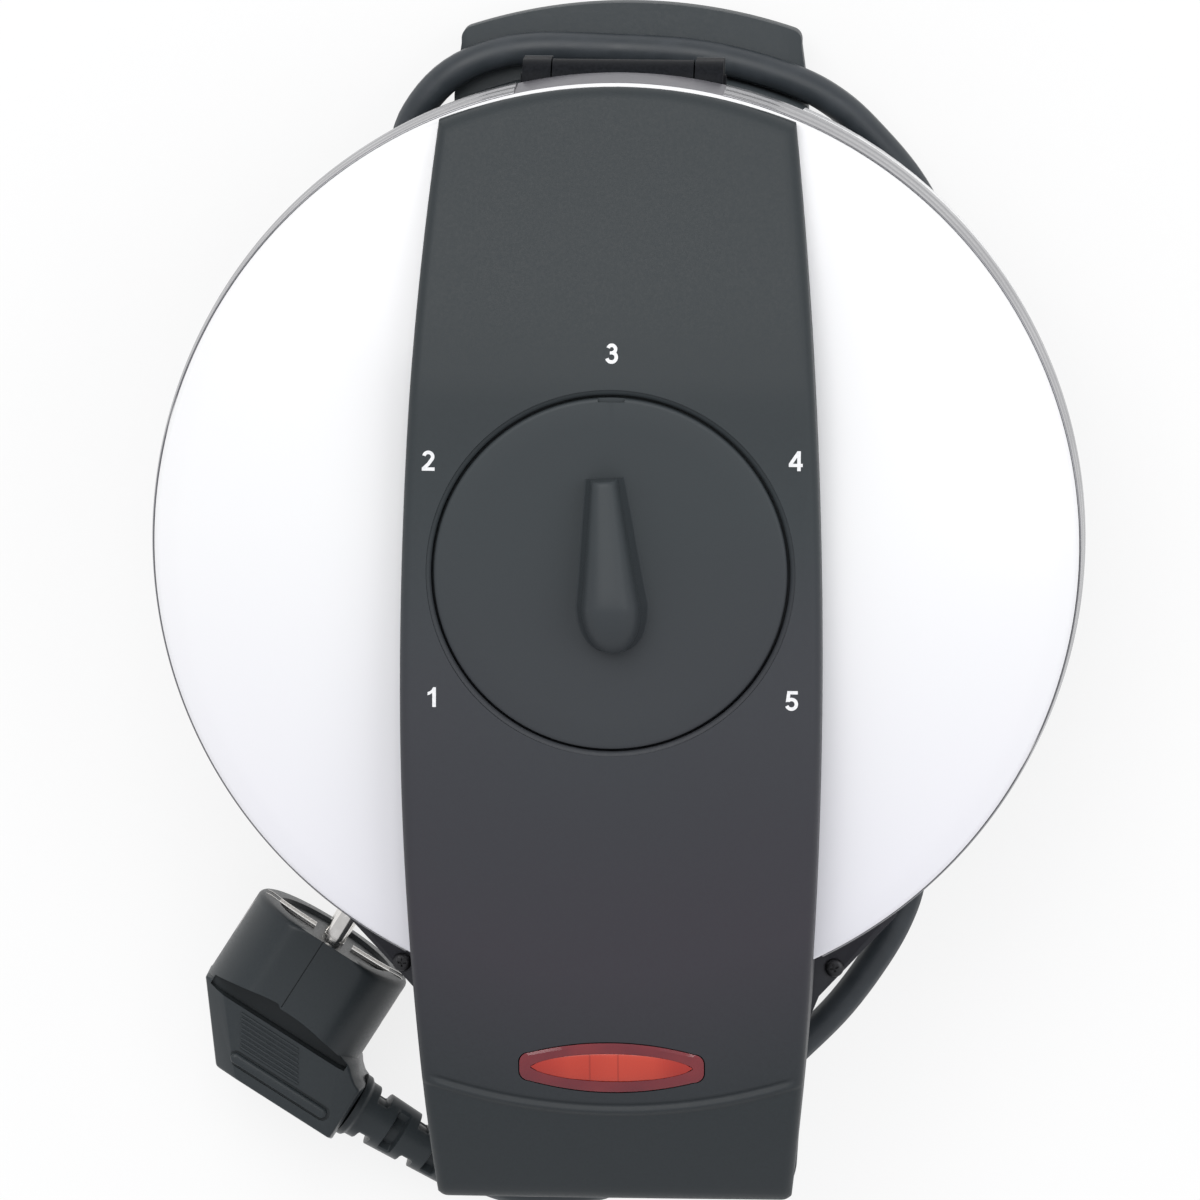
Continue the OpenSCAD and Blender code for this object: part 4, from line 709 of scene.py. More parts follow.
def makeSaddle():
    e = saddle["edgeRadius"]
    edge = [0, 0.03, 0.12, 0.27, 0.5, 0.8, 1.2, 1.7, 2.4, 4, 7]
    wide = saddle["width"] / 2
    across = [-1 + d / wide for d in edge] + [-0.72 + 1.44 * k / 18 for k in range(19)] + [1 - d / wide for d in reversed(edge)]
    frontCorner = saddle["cornerRadius"]

    def frontEnd(x, w):
        over = abs(x) - (w - frontCorner)
        return saddle["frontEnd"] + (frontCorner - math.sqrt(max(frontCorner ** 2 - over ** 2, 0)) if over > 0 else 0)

    ys = [-142 + 0.0, -141.9, -141.6, -141, -140, -138.5, -136, -132, -128, -125]
    ys += [-123.4, -122.6] + [-122.2 + 0.2 * k for k in range(23)] + [-117.3, -116.7]
    ys += [-115 + 2.5 * k for k in range(7)] + [-99.0, -98.7, -96, -93]
    ys += [-90 + 3 * k for k in range(61)]
    ys += [92, 94, 95.5, 96.5, 97.2, 97.6, 97.85, 97.97, 98]
    low, high = ys[0], ys[-1]
    top, under = [], []
    for y0 in ys:
        rowTop, rowUnder = [], []
        for s in across:
            t = (y0 - low) / (high - low)
            w = halfWidth(y0)
            x = s * w
            rear = math.sqrt(saddle["rearRadius"] ** 2 - x * x)
            front = frontEnd(x, halfWidth(-139))
            # the last stations bend to the rear arc and to the rounded corners
            nearRear = smoothStep((y0 - 60) / 38)
            nearFront = smoothStep((-122 - y0) / 20)
            y = y0 + (rear - high) * nearRear + (front - low) * nearFront
            if y0 < -90:
                sag = saddle["ridgeRadius"] - math.sqrt(saddle["ridgeRadius"] ** 2 - x * x)
                y += sag * (1 - nearFront) * smoothStep((y0 + 130) / 8) * smoothStep((-90 - y0) / 25)
            x = s * halfWidth(y)
            sideGap = halfWidth(y) - abs(x)
            rearGap = saddle["rearRadius"] - math.hypot(x, y) if y > 0 else 99
            over = abs(x) - (halfWidth(-139) - frontCorner)
            if y < saddle["frontEnd"] + frontCorner and over > 0:
                cornerGap = frontCorner - math.hypot(over, saddle["frontEnd"] + frontCorner - y)
                gap = min(sideGap, cornerGap)
            else:
                gap = min(sideGap, y - saddle["frontEnd"])
            gap = max(0, min(gap, rearGap))
            drop = e - math.sqrt(max(e * e - (e - gap) ** 2, 0)) if gap < e else 0
            rowTop.append((x, y, saddleSurface(x, y) - drop))
            rowUnder.append((x, y, saddleUnder(x, y)))
        top.append(rowTop)
        under.append(rowUnder)
    rows, cols = len(top), len(across)
    points = [p for row in top for p in row] + [p for row in under for p in row]
    base = rows * cols
    faces = []
    for i in range(rows - 1):
        for k in range(cols - 1):
            a, b, c, d = i * cols + k, i * cols + k + 1, (i + 1) * cols + k + 1, (i + 1) * cols + k
            faces += [(a, b, c, d), (base + d, base + c, base + b, base + a)]
    rim = [(0, k) for k in range(cols)] + [(i, cols - 1) for i in range(1, rows)]
    rim += [(rows - 1, k) for k in range(cols - 2, -1, -1)] + [(i, 0) for i in range(rows - 2, 0, -1)]
    for (i, k), (j, m) in zip(rim, rim[1:] + rim[:1]):
        a, b = i * cols + k, j * cols + m
        faces.append((b, a, base + a, base + b))
    return addMesh("saddleBand", points, faces, 50)


dial = {"centreY": -3.2, "recess": 38.8, "recessFloor": 87.9, "radius": 37.2, "top": 92, "thickness": 3.5, "turn": 3.5,
        "gap": 0.6, "notchDepth": 0.9, "notch": 5.6}


def makeRecessCutter():
    # the well round the dial: floor, upright wall, and a dished lip with a fine step at its outer edge
    r, floor, top = dial["radius"] + dial["gap"], dial["recessFloor"], dial["top"]
    lip = dial["recess"] - r
    profile = [(0, floor), (r - 0.25, floor), (r - 0.02, floor + 0.25), (r, floor + 0.5), (r, top - 1.35),
               (r + lip * 0.25, top - 1.1), (r + lip * 0.6, top - 0.92), (r + lip, top - 0.8),
               (r + lip + 0.12, top - 0.12), (r + lip + 0.2, top + 0.2), (r + lip + 0.2, top + 8), (0, top + 8)]
    return lathe("cutter", profile, 240, (0, dial["centreY"]))


lens = {"y": -111, "width": 39.4, "depth": 11.2, "ends": 6.4, "corner": 2.2, "gap": 0.14}


def lensOutline(inset):
    # two shallow bows with short upright ends and rounded corners
    half, c = lens["width"] / 2, lens["corner"]
    bow = (lens["depth"] - lens["ends"]) / 2
    quarter = [(half * k / 16 * (1 - c / half), lens["depth"] / 2 - bow * (k / 16) ** 2) for k in range(17)]
    x0, y0 = quarter[-1]
    quarter += [(x0 + x, y0 - c + y) for x, y in arcPoints(0, 0, c, 78, 0, 8)]
    whole = quarter + [(x, -y) for x, y in reversed(quarter)]
    whole += [(-x, -y) for x, y in quarter[1:]] + [(-x, y) for x, y in reversed(quarter[1:])]
    scaleX, scaleY = (half - inset) / half, (lens["depth"] / 2 - inset) / (lens["depth"] / 2)
    return [(x * scaleX, y * scaleY + lens["y"]) for x, y in whole]


def makeSaddlePiece():
    body = makeSaddle()
    window = prism("cutter", lensOutline(-lens["gap"]), 50, 90)
    spindleHole = lathe("cutter", [(0, 70), (6, 70), (6, 100), (0, 100)], 48, (0, dial["centreY"]))
    return cutAway(body, makeRecessCutter(), window, spindleHole, sharpAngle=35)


dress(makeSaddlePiece(), "dark_plastic", "lid", "saddle")
print("krumkake iron: saddle made")

# Dial: a flat disc with a softened edge, and a pointing grip with a crease across its back
grip = {"tip": 20.3, "tipHalf": 2.9, "crease": -6.2, "creaseHalf": 6.2, "heel": -16.6, "tipHeight": 6.4,
        "creaseHeight": 11.3, "flare": 1.0, "softness": 2.6,
        "squareness": 0.72}


def makeDialDisc():
    r, top = dial["radius"], dial["top"]
    foot = top - dial["thickness"]
    profile = [(3.1, foot), (3.1, top), (r - 6, top), (r - 0.9, top), (r - 0.5, top - 0.06), (r - 0.2, top - 0.22),
               (r - 0.05, top - 0.45), (r, top - 0.75), (r, foot + 0.3), (r - 0.3, foot)]
    disc = lathe("dialDisc", profile, 240, (0, dial["centreY"]))
    wide, y = dial["notch"] / 2, dial["centreY"]
    return cutAway(disc, boxCutter((-wide, y + r - dial["notchDepth"], top - 0.75), (wide, y + r + 1, top + 1)))


def gripHalf(y):
    # half width of the grip at its foot
    if y > grip["crease"]:
        t = (y - grip["crease"]) / (grip["tip"] - grip["crease"])
        return grip["creaseHalf"] + (grip["tipHalf"] - grip["creaseHalf"]) * t ** 0.9
    t = (grip["crease"] - y) / (grip["crease"] - grip["heel"])
    return grip["creaseHalf"] * math.sqrt(max(1 - t ** 2.2, 0))


def gripHeight(y):
    if y > grip["crease"]:
        t = (y - grip["crease"]) / (grip["tip"] - grip["crease"])
        return grip["creaseHeight"] + (grip["tipHeight"] - grip["creaseHeight"]) * t
    t = (grip["crease"] - y) / (grip["crease"] - grip["heel"])
    return grip["creaseHeight"] * math.sqrt(max(1 - (0.93 * t) ** 1.9, 0)) - 0.25 * smoothStep(t * 6)


def softHeight(y):
    # the grip's height with the crease rounded over
    if abs(y - grip["crease"]) > grip["softness"] * 1.6:
        return gripHeight(y)
    near = [y + grip["softness"] * d for d in (-1, -0.75, -0.5, -0.25, 0, 0.25, 0.5, 0.75, 1)]
    weights = [0.3, 0.55, 0.8, 0.95, 1, 0.95, 0.8, 0.55, 0.3]
    mean = sum(gripHeight(v) * w for v, w in zip(near, weights)) / sum(weights)
    share = smoothStep((grip["softness"] * 1.6 - abs(y - grip["crease"])) / (grip["softness"] * 0.8))
    return mean * share + gripHeight(y) * (1 - share)


def makeGrip():
    stations = [grip["tip"] - d for d in (0, 0.05, 0.2, 0.45, 0.8, 1.4, 2.5, 4)]
    stations += [16 - 2 * k for k in range(11)]
    stations += [grip["crease"] + d for d in (0.6, 0.25, 0, -0.25, -0.6, -1.2, -2, -3, -4, -5, -6, -7, -8, -8.8, -9.4, -9.8, -10.0)]
    stations = sorted(set(round(y, 3) for y in stations), reverse=True)
    rings = []
    for y in stations:
        half, height = gripHalf(y), softHeight(y)
        endGap = grip["tip"] - y
        if endGap < 0.8:
            height -= 0.8 - math.sqrt(max(0.64 - (0.8 - endGap) ** 2, 0))
        foot = half + grip["flare"] * min(1, height / 8)
        section = [(foot + 1.2, -0.3), (foot + 0.35, 0.15), (foot, 0.7), (foot - 0.1, height * 0.22 + 0.5)]
        start = height * 0.35 + 0.4
        for k in range(15):
            a = math.pi / 2 * k / 14
            section.append((half * math.cos(a) ** grip["squareness"], start + (height - start) * math.sin(a) ** grip["squareness"]))
        ring = [(x, y, z) for x, z in section] + [(-x, y, z) for x, z in reversed(section[:-1])]
        rings.append(ring)
    turn = math.radians(dial["turn"])
    placed = [[(x * math.cos(turn) - y * math.sin(turn),
                x * math.sin(turn) + y * math.cos(turn) + dial["centreY"], z + dial["top"]) for x, y, z in ring]
              for ring in rings]
    return loft("dialGrip", placed, sharpAngle=48)


dress(makeDialDisc(), "dial_plastic", "dial", "dial_knob")
dress(makeGrip(), "dial_plastic", "dial")

# Numbers round the dial
numbers = {"stroke": 0.74, "raise": 0.05,
           "places": {"1": (-37.5, -29.8), "2": (-38.4, 20.3), "3": (0, 43.2), "4": (38.8, 21.1), "5": (38.3, -29.7)}}


def strokeOutline(points, width):
    # a band of even width along a line
    left, right = [], []
    for i, (x, y) in enumerate(points):
        (x0, y0), (x1, y1) = points[max(i - 1, 0)], points[min(i + 1, len(points) - 1)]
        size = math.hypot(x1 - x0, y1 - y0)
        nx, ny = -(y1 - y0) / size * width / 2, (x1 - x0) / size * width / 2
        left.append((x + nx, y + ny))
        right.append((x - nx, y - ny))
    return left + right[::-1]


def bar(x0, y0, x1, y1):
    return [(x0, y0), (x1, y0), (x1, y1), (x0, y1)]


def digitOutlines():
    s = numbers["stroke"]
    hook = arcPoints(0.0, 0.86, 0.92, 168, -38, 18)
    bowl = arcPoints(-0.06, -0.70, 1.03, 138, -160, 22)
    return {
        "1": [[(0.12, -2.1), (0.88, -2.1), (0.88, 2.1), (0.28, 2.1), (0.02, 1.62), (-0.42, 1.24), (-0.88, 1.04),
               (-0.88, 0.38), (-0.32, 0.6), (0.12, 0.92)]],
        "2": [strokeOutline(hook + [(-0.02, -0.72), (-0.95, -1.62)], s), bar(-1.36, -2.1, 1.34, -1.4)],
        "3": [strokeOutline(arcPoints(-0.03, 0.93, 0.80, 162, -84, 18), s),
              strokeOutline(arcPoints(-0.05, -0.74, 0.99, 84, -166, 20), s), bar(-0.42, -0.16, 0.2, 0.48)],
        "4": [bar(0.30, -2.1, 1.04, 2.1), bar(-1.46, -1.24, 1.46, -0.56),
              [(-1.46, -0.56), (-0.72, -0.74), (0.66, 1.3), (0.66, 2.1), (0.34, 2.1)]],
        "5": [bar(-0.92, 1.4, 1.26, 2.1), [(-0.92, 2.1), (-0.30, 1.5), (-0.46, -0.1), (-1.26, -0.26)],
              strokeOutline(bowl, s)],
    }


def makeNumber(digit, at):
    def onBand(x, y, z):
        return x + at[0], y + at[1], saddleSurface(x + at[0], y + at[1]) + z

    strokes = []
    for k, outline in enumerate(digitOutlines()[digit]):
        top = numbers["raise"] + 0.004 * k
        strokes.append(loft("stroke", [[(x, y, z) for x, y in outline] for z in (-0.1, top)], lay=onBand))
    return dress(joined(f"dialNumber{digit}", *strokes), "dark_plastic", "lid", material=numberPaint)


for digit, at in numbers["places"].items():
    makeNumber(digit, at)
print("krumkake iron: dial and numbers made")

# Lamp window: a clear red frame, and a brighter pointed lens inside it over the lamp
lensInside = {"half": 17.3, "rise": 3.15}


def lensBow(x, half, rise):
    return rise * (1 - abs(x / half) ** 2.1) ** 0.68


def makeLensFrame():
    # clear border that follows the window's outline, open in the middle
    outer, rim = lensOutline(0.1), lensOutline(0.85)
    half, rise = lensInside["half"], lensInside["rise"]
    inner = []
    for x, y in outer:
        side = 1 if y > lens["y"] else -1
        xi = max(-half, min(half, x * half / (lens["width"] / 2 - 0.1)))
        inner.append((xi, lens["y"] + side * max(lensBow(xi, half, rise), 0.02)))

    def lifted(outline, rise):
        return [(x, y, saddleSurface(x, y) + rise) for x, y in outline]

    return loft("lampFrame", [lifted(outer, 0.0), lifted(rim, 0.32), lifted(inner, 0.2), lifted(inner, -0.6),
                              lifted(inner, -2.4), lifted(outer, -2.4), lifted(outer, 0.0)], capped=False, sharpAngle=30)


def makeLensCentre():
    half, rise = lensInside["half"] - 0.05, lensInside["rise"] - 0.05
    rings = []
    for share, lift in ((1.0, -0.5), (1.0, 0.12), (0.9, 0.3), (0.6, 0.46), (0.3, 0.55)):
        ring = []
        for k in range(48):
            turned = k / 24
            x = half * (1 - 2 * turned) if turned <= 1 else half * (2 * turned - 3)
            side = 1 if turned <= 1 else -1
            y = side * max(lensBow(x, half, rise), 0.03) * share
            xs = x * (0.25 + 0.75 * share)
            ring.append((xs, lens["y"] + y, saddleSurface(xs, lens["y"] + y) + lift))
        rings.append(ring)
    foot = [(x, y, z - 1.6) for x, y, z in rings[0]]
    return loft("lampLens", [foot] + rings, sharpAngle=50)


def makeLamp():
    # a small capsule lamp on its two posts
    y, z = lens["y"], topHeight(lens["y"]) - 5.2
    body = loft("lampBody", [[(x, y + r * math.cos(a), z + r * math.sin(a))
                             for a in [math.tau * k / 24 for k in range(24)]]
                            for x, r in ((-5.6, 0.3), (-5.5, 1.1), (-5.1, 1.8), (-4.4, 2.2), (4.4, 2.2), (5.1, 1.8), (5.5, 1.1), (5.6, 0.3))])
    posts = [loft("lampPost", [[(x + r * math.cos(a), y + r * math.sin(a), h)
                               for a in [math.tau * k / 20 for k in range(20)]]
                              for h, r in ((57.2, 1.5), (z - 0.6, 1.5), (z + 0.4, 1.2), (z + 1.6, 1.0), (z + 1.8, 0.7))])
             for x in (-9.2, 9.2)]
    wires = [loft("lampWire", [[(x, y + 0.35 * math.cos(a), z + 0.35 * math.sin(a))
                               for a in [math.tau * k / 10 for k in range(10)]] for x in sorted((side * 5.4, side * 9.2))])
             for side in (-1, 1)]
    return joined("lampCapsule", body, *posts, *wires)


dress(makeLensFrame(), "lamp_red", "lid", "indicator_lens")
dress(makeLensCentre(), "lamp_red", "lid", material=finishes["lamp_centre"])
dress(makeLamp(), "lamp_glass", "lid", "indicator_lamp")
print("krumkake iron: lamp window made")

# Plug, in its own frame: u along the pins, v along the lead, w upwards
plug = {
    "face": (-62.8, -92.2, 18.75), "turn": 57.8, "radius": 18.75, "headLength": 22, "flat": 16.3, "gripHalf": 12,
    "back": -37, "pocketFloor": 6.8, "seam": -1.8, "pinPitch": 19, "pinRadius": 2.4, "pinLength": 19,
}
plugRibs = {"count": 8, "pitch": 0.9, "drift": 0.56, "length": 14.6, "radius": 0.36, "first": (-23.5, -8.2)}


def plugPoint(u, v, w):
    a = math.radians(plug["turn"])
    x, y, z = plug["face"]
    return (x + u * math.cos(a) + v * math.sin(a), y + u * math.sin(a) - v * math.cos(a), z + w)


def plugRound(name, stations, at=(0, 0), count=96, flat=None, sharpAngle=40):
    # turned about the pins' direction; stations are (u, radius)
    rings = []
    for u, r in stations:
        ring = []
        for k in range(count):
            a = math.tau * k / count
            v, w = r * math.cos(a), r * math.sin(a)
            if flat is not None:
                w = -0.3 * math.log(math.exp(-w / 0.3) + math.exp(-flat / 0.3))
            ring.append((u, at[0] + v, at[1] + w))
        rings.append(ring)
    return loft(name, rings, sharpAngle=sharpAngle, lay=plugPoint)


def pocketOutline(grow):
    rear = []
    for k in range(41):
        v = -17.2 + 34.4 * k / 40
        rear.append((-16.5 + grow - 3.4 * (v / 16.5) ** 2 - (0.8 if v > plug["seam"] else 0), v))
    front = [(-22.1, 17.2), (-22.3, 15.5), (-22.3, -15.5), (-22.1, -17.2)]
    return rear + front


def plugCutters(grow=0):
    deep = plug["pocketFloor"] - grow
    outline = pocketOutline(grow)
    return [prism("cutter", outline, deep, 25, plugPoint), prism("cutter", outline, -25, -deep, plugPoint)]


def capsule(u, v0, v1, r):
    return [(u + x, v0 + y) for x, y in arcPoints(0, 0, r, 180, 360, 12)] + [(u + x, v1 + y) for x, y in arcPoints(0, 0, r, 0, 180, 12)]


def makePlugHead():
    r = plug["radius"]
    edge = [(0, 14.2), (0, r - 1.1), (-0.25, r - 0.55), (-0.7, r - 0.15), (-1.2, r)]
    rest = [(-k, r) for k in range(2, plug["headLength"] - 1)] + [(-plug["headLength"] + 0.6, r), (-plug["headLength"], r - 0.6)]
    head = plugRound("plugHead", [(-0.9, 1), (-0.9, 13.9)] + edge + rest, flat=plug["flat"])
    seam = prism("cutter", [(-16.9, plug["seam"]), (-16.9, plug["seam"] + 0.22), (0.5, plug["seam"] + 0.22), (0.5, plug["seam"])],
                 plug["flat"] - 0.5, 30, plugPoint)
    socket = plugRound("cutter", [(-9, 2.6), (1, 2.6)], (9.5, 0), 32)
    return cutAway(head, *plugCutters(), seam, socket)


def makePlugGrip():
    middle = [(-4, -13), (-19.8, -13.5), (-21.5, -19.0), (plug["back"], -6.5), (plug["back"], 23.1), (-23.2, 23.1),
              (-22.6, 21.5), (-21.4, 20.2), (-19.8, 19.0), (-18.4, 14), (-4, 13)]
    top = [(-4, -12.5), (-20, -12.5), (-21.4, -13.9), (-36.3, -1.3), (-36.3, 22.4), (-24.0, 22.4),
           (-23.4, 20.8), (-22.2, 19.2), (-20.6, 17.4), (-19.2, 13), (-4, 12.5)]
    half = plug["gripHalf"]
    rings = [[(u, v, -half) for u, v in top], [(u, v, -half + 4.5) for u, v in middle],
             [(u, v, half - 4.5) for u, v in middle], [(u, v, half) for u, v in top]]
    grip = bevelled(loft("plugGrip", rings, lay=plugPoint), 0.5, 3, 20)
    groove = prism("cutter", capsule(-32.4, -3.9, 18.2, 1.65), half - 0.55, half + 2, plugPoint)
    grip = cutAway(grip, *plugCutters(0.3), groove)
    bar = loft("plugBar", [[(u, v, half + lift) for u, v in capsule(-32.4, -3.9, 18.0, r)]
                           for r, lift in ((1.15, -1), (1.15, 0.4), (1.0, 0.68), (0.7, 0.86), (0.3, 0.92))], lay=plugPoint)
    return grip, bar


def makePlugRibs():
    tree, given, result = newTree("grip ribs", {
        "Count": "NodeSocketInt", "Start": "NodeSocketVector", "Step": "NodeSocketVector", "Run": "NodeSocketVector",
        "Radius": "NodeSocketFloat", "Finish": "NodeSocketMaterial"})
    rows = addNode(tree, "GeometryNodeMeshLine", {"mode": "OFFSET"},
                   {"Count": given.outputs["Count"], "Start Location": given.outputs["Start"], "Offset": given.outputs["Step"]})
    line = addNode(tree, "GeometryNodeCurvePrimitiveLine", None, {"End": given.outputs["Run"]})
    ring = addNode(tree, "GeometryNodeCurvePrimitiveCircle", None, {"Resolution": 10, "Radius": given.outputs["Radius"]})
    rib = addNode(tree, "GeometryNodeCurveToMesh", None,
                  {"Curve": line.outputs[0], "Profile Curve": ring.outputs[0], "Fill Caps": True})
    ribs = addNode(tree, "GeometryNodeInstanceOnPoints", None, {"Points": rows.outputs[0], "Instance": rib.outputs[0]})
    real = addNode(tree, "GeometryNodeRealizeInstances", None, {"Geometry": ribs.outputs[0]})
    dressed = addNode(tree, "GeometryNodeSetMaterial", None, {"Geometry": real.outputs[0], "Material": given.outputs["Finish"]})
    tree.links.new(dressed.outputs[0], result.inputs[0])
    u, v = plugRibs["first"]
    w = plug["gripHalf"] - 0.06
    start = place(*plugPoint(u, v, w))
    step = place(*plugPoint(u - plugRibs["pitch"], v + plugRibs["drift"], w)) - start
    run = place(*plugPoint(u, v + plugRibs["length"], w)) - start
    return grown("plugRibs", tree, {"Count": plugRibs["count"], "Start": start, "Step": step, "Run": run,
                                    "Radius": plugRibs["radius"] / 1000, "Finish": finishes["plug_plastic"]})


def makePlugPins():
    r, length = plug["pinRadius"], plug["pinLength"]
    nose = [(length - 1.4 + x, r - 1.4 + y) for y, x in arcPoints(0, 0, 1.4, 0, 80, 6)]
    stations = [(-1.2, r), (1.0, r), (1.05, r - 0.12), (1.3, r - 0.12), (1.35, r)] + nose + [(length, 0.4)]
    pins = [plugRound("pin", stations, (0, side * plug["pinPitch"] / 2), 40) for side in (-1, 1)]
    return joined("plugPins", *pins)


def makePlugClips():
    # sprung earth strips with turned-up edges, from the face round to the sides
    clips = []
    for side in (-1, 1):
        path = [(-0.75, 4.6), (-0.7, 9), (-0.55, 13), (-0.3, 16.2), (-0.5, 17.3), (-1.2, 17.9), (-3, 18.15), (-7, 18.2),
                (-10, 18.15), (-12, 17.9), (-12.6, 17.5)]
        path = smoothLine([(u, side * v) for u, v in path], 4)
        rings = []
        for i, (u, v) in enumerate(path):
            nu, nv = path[min(i + 1, len(path) - 1)], path[max(i - 1, 0)]
            du, dv = nu[0] - nv[0], nu[1] - nv[1]
            size = math.hypot(du, dv)
            ou, ov = dv / size * side, -du / size * side  # outwards from the head
            section = [(-2.45, -0.1), (2.45, -0.1), (2.45, 0.5), (2.0, 0.5), (2.0, 0.2), (-2.0, 0.2), (-2.0, 0.5), (-2.45, 0.5)]
            rings.append([(u + ou * t, v + ov * t, w) for w, t in section])
        clips.append(loft("clip", rings, lay=plugPoint))
    return joined("plugClips", *clips)


relief = {"from": (-29.2, 22.6, 0), "tip": (-33.4, -145.1, 14.4), "radii": (6.5, 5.0), "slotDepth": 2.0,
          "slots": ((5.5, 0), (10.8, 1), (16.1, 0), (21.4, 1), (26.7, 0)), "slotWidth": 2.6}


def makePlugRelief():
    start, tip = Vector(plugPoint(*relief["from"])), Vector(relief["tip"])
    length = (tip - start).length
    e = (tip - start).normalized()
    side = e.cross(Vector((0, 0, 1))).normalized()
    up = side.cross(e)
    rings = []
    steps = 150
    for i in range(steps + 1):
        s = length * i / steps
        share = s / length
        r0 = relief["radii"][0] + (relief["radii"][1] - relief["radii"][0]) * share
        r0 += 0.7 * (1 - smoothStep((s - 1.2) / 1.0)) - 0.6 * smoothStep((s - length + 1.0) / 1.0)
        ring = []
        for k in range(72):
            a = math.tau * k / 72
            r = r0
            for at, turned in relief["slots"]:
                near = abs(math.cos(a)) if not turned else abs(math.sin(a))
                inSlot = smoothStep((relief["slotWidth"] / 2 + 0.15 - abs(s - at)) / 0.3)
                r -= relief["slotDepth"] * inSlot * smoothStep((near - 0.62) / 0.1)
            ring.append(tuple(start + e * s + side * (r * math.cos(a)) + up * (r * math.sin(a))))
        rings.append(ring)
    return loft("plugRelief", rings, sharpAngle=50)


grip, bar = makePlugGrip()
dress(joined("plugShell", makePlugHead(), grip, bar), "plug_plastic", "base", "plug_body")
dress(makePlugRibs(), "plug_plastic", "base")
dress(makePlugPins(), "plug_nickel", "base", "plug_pins")
dress(makePlugClips(), "plug_nickel", "base", "plug_earth_clips")
dress(makePlugRelief(), "cord_sheath", "base", "plug_strain_relief", material=finishes["plug_plastic"])
print("krumkake iron: plug made")

# Screws: each group's places and sizes are read from the frame, and one detailed screw is repeated there
screws = {"thread": 0.8, "threadDepth": 0.16, "recess": 0.55, "recessWidth": 0.26}
screwGroups = {
    "lower_plate_screws": ("plateScrewsLower", "base", "screw_steel"), "lower_handle_screws": ("handleScrewsLower", "base", "screw_steel"),
    "saddle_screws": ("saddleScrews", "lid", "screw_steel"), "handle_cover_screws": ("coverScrews", "lid", "screw_steel"),
    "upper_plate_screws": ("plateScrewsUpper", "lid", "screw_steel"),
}


def solidsOf(nodeName):
    # the separate solids of a frame node, as lists of points in metres
    work = bmesh.new()
    work.from_mesh(frame["nodes"][nodeName].data)
    bmesh.ops.remove_doubles(work, verts=work.verts, dist=1e-6)
    left, solids = set(work.verts), []
    while left:
        group, edge = [], [left.pop()]
        while edge:
            vert = edge.pop()
            group.append(vert.co.copy())
            for link in vert.link_edges:
                other = link.other_vert(vert)
                if other in left:
                    left.remove(other)
                    edge.append(other)
        solids.append(group)
    work.free()
    return sorted(solids, key=lambda solid: (round(solid[0].z, 3), round(solid[0].x, 4)))


def screwSizes(solid):
    low, high = min(p.z for p in solid), max(p.z for p in solid)
    x = (min(p.x for p in solid) + max(p.x for p in solid)) / 2
    y = (min(p.y for p in solid) + max(p.y for p in solid)) / 2

    def reach(z):
        return max(math.hypot(p.x - x, p.y - y) for p in solid if abs(p.z - z) < 1e-5)

    headUp = reach(high) > reach(low)
    headRadius, shankRadius = max(reach(low), reach(high)), min(reach(low), reach(high))
    wide = [p.z for p in solid if math.hypot(p.x - x, p.y - y) > headRadius - 2e-5]
    return {"at": (x, y, high if headUp else low), "up": headUp, "head": headRadius * 1000, "shank": shankRadius * 1000,
            "headHeight": (max(wide) - min(wide)) * 1000, "length": (high - low) * 1000}


def makeScrew(size):
    # pan head with a cross recess, and a threaded shank, hanging from the origin; in millimetres
    r, h, length, shank = size["head"], size["headHeight"], size["length"], size["shank"]
    profile = [(0.01, 0), (r * 0.55, 0), (r * 0.8, -h * 0.1), (r * 0.94, -h * 0.3), (r, -h * 0.6), (r - 0.05, -h), (shank, -h)]
    z, k = -h - 0.4, 0
    while z > -length + 1.6:
        profile.append((shank - (screws["threadDepth"] if k % 2 else 0), z))
        z -= screws["thread"] / 2
        k += 1
    profile += [(shank - 0.2, -length + 0.9), (shank * 0.4, -length), (0.01, -length)]
    rings = [[(radius * math.cos(math.tau * a / 28), radius * math.sin(math.tau * a / 28), z) for a in range(28)] for radius, z in profile]
    flat = lambda x, y, z: (x, y - bakingAxisY, z)
    screw = loft("screw", rings, lay=flat)
    long, wide, deep = r * screws["recess"], r * screws["recessWidth"] / 2, -h * 0.7
    for x, y in ((long, wide), (wide, long)):
        slit = loft("cutter", [[(-x * f, -y * f, z), (x * f, -y * f, z), (x * f, y * f, z), (-x * f, y * f, z)]
                               for f, z in ((0.7, deep), (1.0, 1))], lay=flat)
        cutAway(screw, slit)
    return screw


def makeRepeatTree():
    # one object repeated on every point, turned by its point's own turn
    tree, given, result = newTree("repeated", {"Geometry Of": "NodeSocketObject", "Flip": "NodeSocketFloat",
                                               "Seed": "NodeSocketInt", "Finish": "NodeSocketMaterial"})
    shape = addNode(tree, "GeometryNodeObjectInfo", None, {"Object": given.outputs["Geometry Of"]})
    turn = addNode(tree, "FunctionNodeRandomValue", {"data_type": "FLOAT"}, {2: 0.0, 3: math.tau, "Seed": given.outputs["Seed"]})
    turned = addNode(tree, "ShaderNodeCombineXYZ", None, {"X": given.outputs["Flip"], "Z": turn.outputs[1]})
    spread = addNode(tree, "GeometryNodeInstanceOnPoints", None,
                     {"Points": given.outputs["Geometry"], "Instance": shape.outputs["Geometry"], "Rotation": turned.outputs[0]})
    real = addNode(tree, "GeometryNodeRealizeInstances", None, {"Geometry": spread.outputs[0]})
    dressed = addNode(tree, "GeometryNodeSetMaterial", None, {"Geometry": real.outputs[0], "Material": given.outputs["Finish"]})
    tree.links.new(dressed.outputs[0], result.inputs[0])
    return tree


repeatTree = makeRepeatTree()


